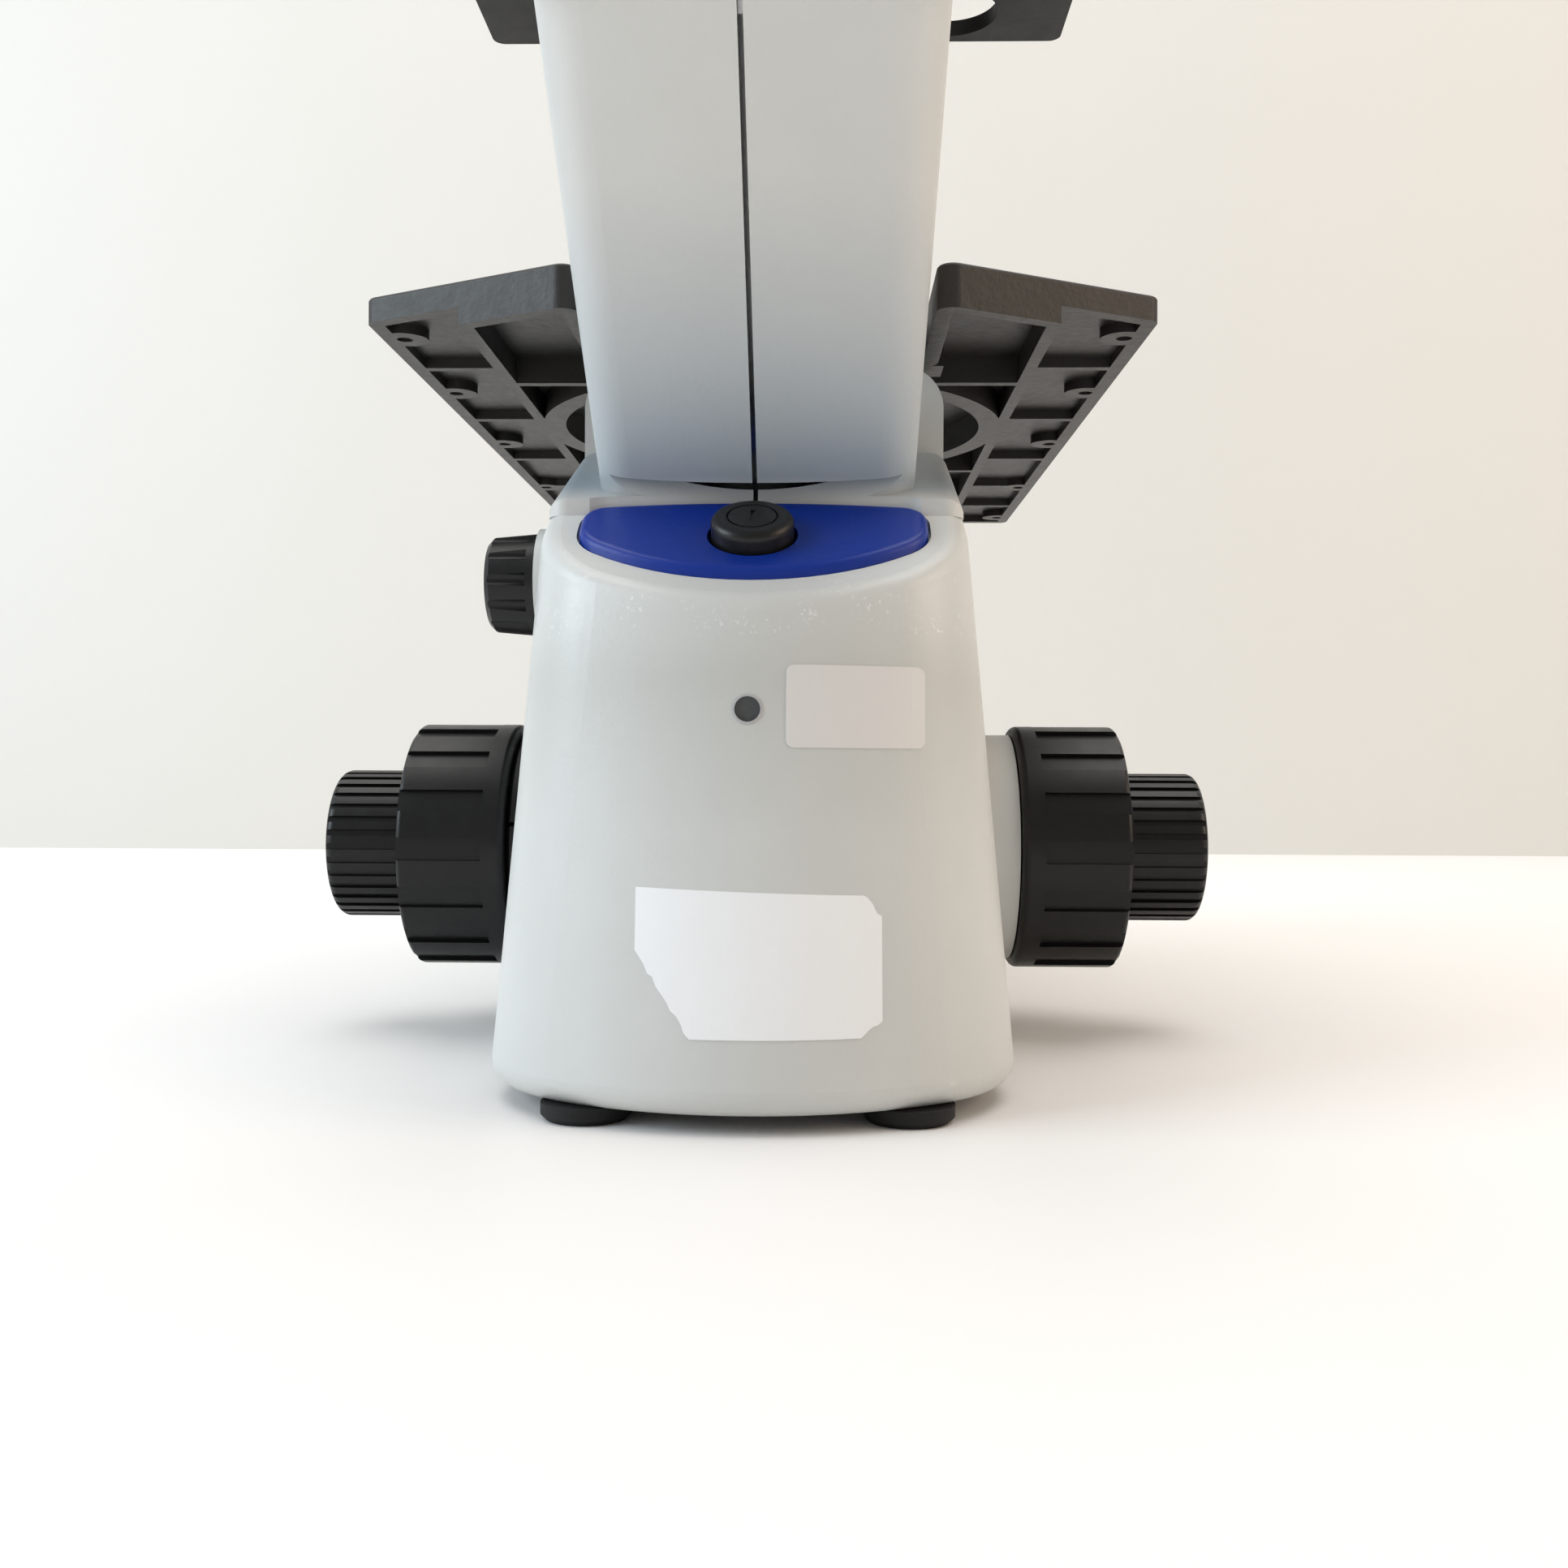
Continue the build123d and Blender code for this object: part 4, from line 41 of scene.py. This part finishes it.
class Signal:
    """A socket in a finish's node tree. Arithmetic on it adds Math nodes."""

    def __init__(self, finish, socket):
        self.finish = finish
        self.socket = socket

    def _math(self, operation, *values):
        return self.finish.node("ShaderNodeMath", {"operation": operation}, dict(enumerate(values)))

    def __add__(self, other):
        return self._math("ADD", self, other)

    def __radd__(self, other):
        return self._math("ADD", other, self)

    def __sub__(self, other):
        return self._math("SUBTRACT", self, other)

    def __rsub__(self, other):
        return self._math("SUBTRACT", other, self)

    def __mul__(self, other):
        return self._math("MULTIPLY", self, other)

    def __rmul__(self, other):
        return self._math("MULTIPLY", other, self)

    def step(self, low, high):
        """0 below low, 1 above high, straight between them."""
        ramp = {1: low, 2: high, 3: 0.0, 4: 1.0, 0: self}
        return self.finish.node("ShaderNodeMapRange", {"clamp": True}, ramp)


class Finish:
    """A procedural material around one Principled shader."""

    def __init__(self, name, roughness=0.5, **fixed):
        self.material = bpy.data.materials.new(name)
        self.material.use_nodes = True
        self.tree = self.material.node_tree
        self.shader = self.tree.nodes["Principled BSDF"]
        self.shader.inputs["Roughness"].default_value = roughness
        for socket, value in fixed.items():
            self.shader.inputs[socket.replace("_", " ")].default_value = value
        self.place = self.node("ShaderNodeTexCoord", {}, {}, "Object")

    def node(self, kind, settings, sockets, output=0):
        made = self.tree.nodes.new(kind)
        for name, value in settings.items():
            setattr(made, name, value)
        for key, value in sockets.items():
            socket = made.inputs[key]
            if isinstance(value, Signal):
                self.tree.links.new(value.socket, socket)
            else:
                socket.default_value = value
        return Signal(self, made.outputs[output])

    def axis(self, letter):
        return self.node("ShaderNodeSeparateXYZ", {}, {0: self.place}, letter)

    def noise(self, grain, detail=2.0, spread=0.5, stretch=(1, 1, 1)):
        """Noise whose spots are about grain metres across."""
        spot = self.place
        if stretch != (1, 1, 1):
            spot = self.node("ShaderNodeMapping", {}, {"Vector": self.place, "Scale": stretch})
        sockets = {"Vector": spot, "Scale": 1 / grain, "Detail": detail, "Roughness": spread}
        return self.node("ShaderNodeTexNoise", {}, sockets)

    def mix(self, amount, first, second):
        """A colour between two colours."""
        first = first if isinstance(first, Signal) else (*first, 1)
        second = second if isinstance(second, Signal) else (*second, 1)
        settings = {"data_type": "RGBA", "clamp_factor": True}
        return self.node("ShaderNodeMix", settings, {0: amount, 6: first, 7: second}, 2)

    def set(self, socket, signal):
        self.tree.links.new(signal.socket, self.shader.inputs[socket])

    def bump(self, height, depth, strength=1.0):
        """Relief of about depth metres."""
        sockets = {"Strength": strength, "Distance": depth, "Height": height}
        self.set("Normal", self.node("ShaderNodeBump", {}, sockets))

    def dress(self, *names):
        for name in names:
            slots = nodes[name].data.materials
            slots.clear()
            slots.append(self.material)


def fine_paint(name, tone, shade, roughness=0.42, grain=0.0009, relief=0.00005):
    """Sprayed paint: two close tones in soft clouds and a fine orange peel."""
    finish = Finish(name, Specular_IOR_Level=0.5)
    clouds = finish.noise(0.03, 3.0)
    finish.colour = finish.mix(clouds.step(0.3, 0.7), tone, shade)
    finish.set("Base Color", finish.colour)
    finish.set("Roughness", roughness - 0.07 + 0.14 * finish.noise(0.0025, 2.0))
    finish.bump(finish.noise(grain, 2.0, 0.6), relief, 0.8)
    return finish


GREY = (0.60, 0.61, 0.595)
GREY_SHADE = (0.57, 0.578, 0.562)
grey_paint = fine_paint("light grey paint", GREY, GREY_SHADE)
grey_paint.dress(
    "side_boss_right", "stage_arch", "pillar_housing", "lamp_house", "stage_bracket", "binocular_housing"
)

# Base housing.
# A die-cast hood in the same paint. Hands have worn the rim in front of the panel down to shiny specks, and
# a band of the wall below it is painted darker as painted shade.
CREST_LOW = (0.0825, 0.087)
CREST_HIGH = (0.092, 0.096)
CREST_REAR = (-0.066, -0.058)
SHADE_BAND_LOW = (0.050, 0.075)
SHADE_BAND_HIGH = (0.077, 0.091)
PAINTED_SHADE_GREY = (0.47, 0.475, 0.45)
WORN_SHINE = (0.88, 0.89, 0.90)
rim_paint = fine_paint("base housing paint", GREY, GREY_SHADE)
height = rim_paint.axis("Z")
behind = rim_paint.axis("Y").step(*CREST_REAR)
crest = height.step(*CREST_LOW) * (1 - height.step(*CREST_HIGH)) * (1 - behind)
specks = rim_paint.noise(0.0007, 3.0, 0.7).step(0.59, 0.64)
patches = rim_paint.noise(0.008, 2.0).step(0.46, 0.64)
rubbed = 0.85 * (crest * specks * patches)
# Painted shade: between these heights the wall's coat is mixed towards a darker grey, standing in for
# shade.
painted_shade_band = height.step(*SHADE_BAND_LOW) * (1 - height.step(*SHADE_BAND_HIGH))
coat = rim_paint.mix(0.6 * painted_shade_band, rim_paint.colour, PAINTED_SHADE_GREY)
rim_paint.set("Base Color", rim_paint.mix(rubbed, coat, WORN_SHINE))
rim_paint.set("Roughness", 0.35 + 0.14 * rim_paint.noise(0.0025, 2.0) - 0.25 * rubbed - 0.08 * crest)
rim_paint.dress("base_housing")

# Neck covers, left and right.
# Two moulded half shells that meet in a dark seam. Their coat is a little darker; where the neck rises from
# its flange it carries painted shade, tinted bluish as a painted reflection of the blue panel.
FLANGE_TOP = (0.1108, 0.1150)
FOOT_TOP = (0.118, 0.155)
NECK_GREY = (0.575, 0.58, 0.565)
NECK_GREY_SHADE = (0.55, 0.555, 0.54)
PAINTED_SHADE_BLUE_GREY = (0.32, 0.365, 0.40)
neck_paint = fine_paint("neck cover paint", NECK_GREY, NECK_GREY_SHADE)
neck_height = neck_paint.axis("Z")
# Painted shade and painted reflection: low on the neck, above its flange, the coat is mixed towards a dull
# blue grey.
painted_foot_shade = neck_height.step(*FLANGE_TOP) * (1 - neck_height.step(*FOOT_TOP))
neck_paint.set("Base Color", neck_paint.mix(painted_foot_shade, neck_paint.colour, PAINTED_SHADE_BLUE_GREY))
neck_paint.dress("neck_cover_left", "neck_cover_right")

# Front panel.
# A blue ABS moulding with a satin face and rolled edges, let into the housing and lightly scratched by use.
DEEP_BLUE = (0.002, 0.022, 0.235)
BRIGHT_BLUE = (0.004, 0.032, 0.285)
panel_blue = Finish("blue panel", Specular_IOR_Level=0.3)
panel_tone = panel_blue.noise(0.02, 2.0)
panel_blue.set("Base Color", panel_blue.mix(panel_tone, DEEP_BLUE, BRIGHT_BLUE))
hairlines = panel_blue.noise(0.0006, 2.0, 0.6, (0.08, 1.0, 1.0)).step(0.66, 0.70)
panel_blue.set("Roughness", 0.30 + 0.15 * hairlines + 0.12 * panel_blue.noise(0.0008, 2.0))
panel_blue.bump(0.8 * panel_blue.noise(0.0005, 2.0) - 0.4 * hairlines, 0.00002)
panel_blue.dress("front_panel")

# Sensor window and its collar.
# A dark filter rod, seen end on, glued into the housing; a thin ring of grey plastic is pressed round it
# and lies on the sloping wall.
IN_FRONT = -0.25
REARWARD = Vector((0, 1, 0))
WINDOW_RADIUS = 0.0022
COLLAR_RADIUS = 0.0026
COLLAR_SUNK = -0.0002
COLLAR_INNER_RISE = 0.00018
COLLAR_OUTER_RISE = 0.00010
COLLAR_STEPS = 48
COLLAR_GREY = (0.36, 0.36, 0.37)
COLLAR_PALE = (0.46, 0.46, 0.47)
FILTER_DARK = (0.055, 0.058, 0.062)
FILTER_GREY = (0.085, 0.088, 0.09)
sensor = Finish("sensor filter", roughness=0.22)
sensor.set("Base Color", sensor.mix(sensor.noise(0.002), FILTER_DARK, FILTER_GREY))
sensor.dress("sensor_window")
housing_form = bmesh.new()
housing_form.from_mesh(nodes["base_housing"].data)
housing_surface = BVHTree.FromBMesh(housing_form)


def front_wall(x, z):
    """The point of the housing's front at x and z, and the wall's outward normal there."""
    spot, normal, _, _ = housing_surface.ray_cast(Vector((x, IN_FRONT, z)), REARWARD)
    return spot, normal


def finished(name, form, finish):
    """The form as an object of its own, in one material."""
    mesh = bpy.data.meshes.new(name)
    form.to_mesh(mesh)
    form.free()
    mesh.materials.append(finish.material)
    piece = bpy.data.objects.new(name, mesh)
    bpy.context.collection.objects.link(piece)
    return piece


window = [v.co for v in nodes["sensor_window"].data.vertices]
window_z = (min(v.z for v in window) + max(v.z for v in window)) / 2
above, wall_normal = front_wall(0, window_z + COLLAR_RADIUS)
below, _ = front_wall(0, window_z - COLLAR_RADIUS)
collar_form = bmesh.new()
section = [
    collar_form.verts.new((WINDOW_RADIUS, 0, COLLAR_SUNK)),
    collar_form.verts.new((COLLAR_RADIUS, 0, COLLAR_SUNK)),
    collar_form.verts.new((COLLAR_RADIUS, 0, COLLAR_OUTER_RISE)),
    collar_form.verts.new((WINDOW_RADIUS, 0, COLLAR_INNER_RISE)),
]
profile = [collar_form.edges.new((section[k], section[k - 1])) for k in range(4)]
bmesh.ops.spin(
    collar_form,
    geom=section + profile,
    cent=(0, 0, 0),
    axis=(0, 0, 1),
    angle=2 * pi,
    steps=COLLAR_STEPS,
    use_merge=True,
)
bmesh.ops.recalc_face_normals(collar_form, faces=collar_form.faces)
turn_to_wall = wall_normal.to_track_quat("Z", "Y").to_matrix().to_4x4()
to_wall = Matrix.Translation((above + below) / 2) @ turn_to_wall
bmesh.ops.transform(collar_form, matrix=to_wall, verts=collar_form.verts)
collar_plastic = Finish("collar plastic", roughness=0.3)
collar_grain = collar_plastic.noise(0.001)
collar_plastic.set("Base Color", collar_plastic.mix(collar_grain, COLLAR_GREY, COLLAR_PALE))
collar = finished("sensor_collar", collar_form, collar_plastic)
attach(collar, "stand")

# Power button, knobs, tension ring, dial, eyepieces and the other black mouldings.
# Glass-filled plastic with a spark-eroded satin skin; the knobs are pressed on their shafts.


def moulded_black(name, tone=0.0045, roughness=0.38, grain=0.0004, relief=0.00002):
    """Satin plastic or rubber, nearly black, with faint clouds in its tone and gloss."""
    finish = Finish(name, Specular_IOR_Level=0.34)
    skin = finish.noise(0.012, 3.0)
    dark = (tone, tone, tone * 1.06)
    light = (tone * 1.35, tone * 1.33, tone * 1.38)
    finish.set("Base Color", finish.mix(skin, dark, light))
    finish.set("Roughness", roughness - 0.08 + 0.16 * finish.noise(0.004, 3.0))
    finish.bump(finish.noise(grain, 2.0, 0.6), relief)
    return finish


moulded_black("knob black").dress(
    "coarse_knob_left", "coarse_knob_right", "fine_knob_left", "fine_knob_right",
    "light_dial", "tension_ring",
)
moulded_black("button black", 0.006, 0.36, 0.0003).dress("button_cap", "switch_body", "power_inlet")
moulded_black("eyepiece black", 0.009, 0.5, 0.0006, 0.00004).dress(
    "eyepiece_left", "eyepiece_right", "diopter_ring", "phase_slider"
)
moulded_black("boss black", 0.010, 0.5).dress("side_boss_left", "dust_plate")

# Stage, its insert, the condenser and the eyepiece arms.
# Cast and turned aluminium under a coarse anthracite texture paint, screwed on; the stage's underside keeps
# the casting's ribs.
ANTHRACITE = (0.017, 0.0155, 0.014)
ANTHRACITE_SHADE = (0.023, 0.021, 0.019)
stage_paint = fine_paint("anthracite paint", ANTHRACITE, ANTHRACITE_SHADE, 0.46, 0.0012, 0.00009)
stage_paint.shader.inputs["Specular IOR Level"].default_value = 0.4
stage_paint.dress("stage_plate", "stage_insert")
stage_paint.dress("condenser_body", "condenser_carrier", "eyepiece_arm_left", "eyepiece_arm_right")

# Bare metal.
# Turned and ground steel, brass bushes and rack, milled aluminium, and the plated nosepiece and objectives,
# which screw into one another.


def bare_metal(name, tone, roughness, stretch=(1, 1, 1)):
    """Metal with fine streaks; a larger stretch along an axis makes them shorter there."""
    finish = Finish(name, Metallic=1.0)
    streaks = finish.noise(0.0008, 3.0, 0.6, stretch)
    finish.set("Base Color", finish.mix(streaks, tone, tuple(0.86 * c for c in tone)))
    finish.set("Roughness", roughness - 0.1 + 0.2 * streaks)
    finish.bump(streaks, 0.000008)
    return finish


bare_metal("ground steel", (0.56, 0.56, 0.57), 0.32, (1, 1, 8)).dress(
    "base_plate", "base_screws", "stage_screws", "button_spring", "coarse_shaft", "fine_shaft",
    "focus_pinion", "condenser_rail", "guide_rails", "iris_lever",
)
bare_metal("brass", (0.70, 0.52, 0.24), 0.3, (8, 1, 1)).dress("shaft_bushes", "focus_rack")
bare_metal("milled aluminium", (0.66, 0.67, 0.68), 0.38, (6, 1, 1)).dress(
    "focus_block", "focus_carriage", "neck_flange", "light_tube", "mirror_holder", "lamp_board"
)
bare_metal("satin chrome", (0.68, 0.68, 0.69), 0.2).dress(
    "nosepiece_ring", "objective_low", "objective_middle", "objective_high"
)
bare_metal("mirror coat", (0.9, 0.91, 0.92), 0.13).dress("main_mirror")

# Lenses.
# Ground and polished glass with an anti-reflex coating that tints it faintly, held in turned seats.
COATING_BLUE = (0.93, 0.96, 0.98)
COATING_VIOLET = (0.96, 0.94, 0.98)
glass = Finish("coated glass", roughness=0.03, Transmission_Weight=1.0, IOR=1.52)
glass.set("Base Color", glass.mix(glass.noise(0.02), COATING_BLUE, COATING_VIOLET))
glass.dress("tube_lens", "collector_lens", "condenser_lens")

# Rubber feet and the circuit board.
# The feet are soft moulded rubber, plugged into the base plate; the board's lacquer is a patchy green.
LACQUER = (0.01, 0.10, 0.04)
LACQUER_ON_COPPER = (0.02, 0.16, 0.06)
moulded_black("foot rubber", 0.008, 0.7, 0.0005, 0.00005).dress("rubber_feet")
board = Finish("board lacquer", roughness=0.3)
lands = board.noise(0.003).step(0.45, 0.55)
board.set("Base Color", board.mix(lands, LACQUER, LACQUER_ON_COPPER))
board.dress("circuit_board")

# Stickers on the housing's front, both blank.
# A small glossy one with round corners and a large plain one whose corners have torn off: thin paper,
# pressed on to the curved, drafted wall.
PAPER = 0.00012
GLUE = 0.00002
STRIP = 0.0012
ROW = 0.0025
CUT_TOLERANCE = 1e-7


def cut_across(form, place, along):
    """Cut the form through place, square to along."""
    everything = list(form.verts) + list(form.edges) + list(form.faces)
    bmesh.ops.bisect_plane(form, geom=everything, plane_co=place, plane_no=along, dist=CUT_TOLERANCE)


def sticker(name, outline, finish, corner=0.0):
    """Paper of the outline given in X and Z, cut into strips and rows and laid on the front wall.

    The sheet faces the wall, because solidify adds its thickness on the side that it turns away.
    """
    form = bmesh.new()
    form.faces.new([form.verts.new((x, IN_FRONT, z)) for x, z in outline])
    if corner:
        bmesh.ops.bevel(
            form,
            geom=list(form.verts),
            offset=corner,
            segments=6,
            affect="VERTICES",
            profile=0.5,
            material=-1,
        )
    low, high = min(x for x, _ in outline), max(x for x, _ in outline)
    foot, top = min(z for _, z in outline), max(z for _, z in outline)
    for k in range(1, int((high - low) / STRIP)):
        cut_across(form, (low + k * STRIP, 0, 0), (1, 0, 0))
    for k in range(1, int((top - foot) / ROW) + 1):
        cut_across(form, (0, 0, foot + k * ROW), (0, 0, 1))
    for vert in form.verts:
        spot, normal = front_wall(vert.co.x, vert.co.z)
        vert.co = spot + normal * GLUE
    bmesh.ops.recalc_face_normals(form, faces=form.faces)
    if sum(face.normal.y for face in form.faces) < 0:
        bmesh.ops.reverse_faces(form, faces=form.faces)
    bmesh.ops.solidify(form, geom=list(form.faces), thickness=PAPER)
    piece = finished(name, form, finish)
    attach(piece, "stand")


def torn(start, end, teeth, depth, seed):
    """Points of a ragged tear from start to end, both ends left out."""
    dice = random.Random(seed)
    run = Vector(end) - Vector(start)
    across = Vector((-run.y, run.x)).normalized()
    points = []
    for k in range(1, teeth):
        along = run * (k + dice.uniform(-0.3, 0.3)) / teeth
        spot = Vector(start) + along + across * dice.uniform(-depth, depth)
        points.append((spot.x, spot.y))
    return points


def paper(name, tone, roughness):
    """Sticker paper with fine fibres."""
    finish = Finish(name, roughness=roughness)
    fibre = finish.noise(0.0004, 3.0, 0.7)
    finish.set("Base Color", finish.mix(fibre, tone, tuple(0.965 * c for c in tone)))
    finish.bump(fibre, 0.00001)
    return finish


SMALL_LEFT, SMALL_RIGHT = 0.0065, 0.0304
SMALL_LOW, SMALL_HIGH = 0.0643, 0.0784
SMALL_CORNER = 0.0014
sticker(
    "small_sticker",
    [
        (SMALL_LEFT, SMALL_LOW),
        (SMALL_RIGHT, SMALL_LOW),
        (SMALL_RIGHT, SMALL_HIGH),
        (SMALL_LEFT, SMALL_HIGH),
    ],
    paper("sticker stock", (0.68, 0.665, 0.65), 0.45),
    corner=SMALL_CORNER,
)
LEFT_TEAR = 0.00028
RIGHT_TEAR = 0.0003
top_left = (-0.0186, 0.0408)
tear_left = (-0.0186, 0.0303)
low_left = (-0.0091, 0.0160)
low_right = (0.0193, 0.0160)
tear_right = (0.0229, 0.0186)
side_right = (0.0228, 0.0360)
top_right = (0.0198, 0.0395)
sticker(
    "large_sticker",
    [
        top_left,
        tear_left,
        *torn(tear_left, low_left, 12, LEFT_TEAR, 3),
        low_left,
        low_right,
        *torn(low_right, tear_right, 5, RIGHT_TEAR, 5),
        tear_right,
        side_right,
        *torn(side_right, top_right, 5, RIGHT_TEAR, 8),
        top_right,
    ],
    paper("plain paper", (0.86, 0.87, 0.88), 0.6),
)
housing_form.free()

# Camera.
# At the photograph's place: bench height, a little right of the middle, turned and tipped by a degree.
FRAME_PIXELS = 1932
FOCAL_PIXELS = 1878.235
SENSOR_WIDTH = 36.0
CAMERA_PLACE = (0.011779, -0.347225, 0.060607)
TURNED, TIPPED, ROLLED = 1.234, 0.539, 0.255
camera_data = bpy.data.cameras.new("camera")
camera_data.sensor_fit = "HORIZONTAL"
camera_data.sensor_width = SENSOR_WIDTH
camera_data.lens = FOCAL_PIXELS / FRAME_PIXELS * SENSOR_WIDTH
camera_data.clip_start = 0.01
camera = bpy.data.objects.new("camera", camera_data)
bpy.context.collection.objects.link(camera)
yaw = Matrix.Rotation(radians(TURNED), 4, "Z")
pitch = Matrix.Rotation(radians(90 - TIPPED), 4, "X")
roll = Matrix.Rotation(radians(ROLLED), 4, "Z")
camera.matrix_world = Matrix.Translation(CAMERA_PLACE) @ yaw @ pitch @ roll
bpy.context.scene.camera = camera
bpy.context.scene.view_settings.view_transform = "Standard"

# Room.
# A white bench and a pale wall behind it, a bright ceiling, a cool window to the left and a warm lamp to
# the right.


def room_plane(name, size, place, turn, tone):
    """A bench or a wall of nearly one tone, which is part of the room and not of the object."""
    form = bmesh.new()
    bmesh.ops.create_grid(form, x_segments=1, y_segments=1, size=0.5)
    bmesh.ops.scale(form, verts=form.verts, vec=(*size, 1))
    bmesh.ops.rotate(form, verts=form.verts, cent=(0, 0, 0), matrix=Matrix.Rotation(turn, 3, "X"))
    bmesh.ops.translate(form, verts=form.verts, vec=place)
    finish = Finish(name, roughness=0.55)
    finish.set("Base Color", finish.mix(finish.noise(0.4), tone, tuple(0.985 * c for c in tone)))
    finished(name, form, finish)


room_plane("bench", (8, 3.12), (0, -0.785, 0), 0.0, (0.81, 0.80, 0.79))
room_plane("wall", (8, 5), (0, 0.775, 1.5), pi / 2, (0.66, 0.65, 0.62))


def soft_light(name, size, place, target, watts, colour):
    """A rectangular lamp at place that faces target."""
    lamp = bpy.data.lights.new(name, "AREA")
    lamp.shape = "RECTANGLE"
    lamp.size, lamp.size_y = size
    lamp.energy = watts
    lamp.color = colour
    holder = bpy.data.objects.new(name, lamp)
    bpy.context.collection.objects.link(holder)
    aim = Vector(target) - Vector(place)
    holder.matrix_world = Matrix.Translation(place) @ aim.to_track_quat("-Z", "Y").to_matrix().to_4x4()


soft_light("ceiling", (2.4, 1.6), (0, 0.1, 1.9), (0, 0, 0), 36, (1.0, 0.985, 0.965))
soft_light("window", (1.0, 1.0), (-1.5, -0.5, 0.8), (0, -0.05, 0.1), 21, (0.78, 0.90, 1.0))
soft_light("warm lamp", (0.9, 0.9), (1.5, -0.4, 0.8), (0, -0.05, 0.1), 10, (1.0, 0.78, 0.58))
DIM_DAYLIGHT = (1.0, 0.97, 0.93, 1)
world = bpy.data.worlds.new("room")
world.use_nodes = True
world.node_tree.nodes["Background"].inputs["Color"].default_value = DIM_DAYLIGHT
world.node_tree.nodes["Background"].inputs["Strength"].default_value = 0.35
bpy.context.scene.world = world
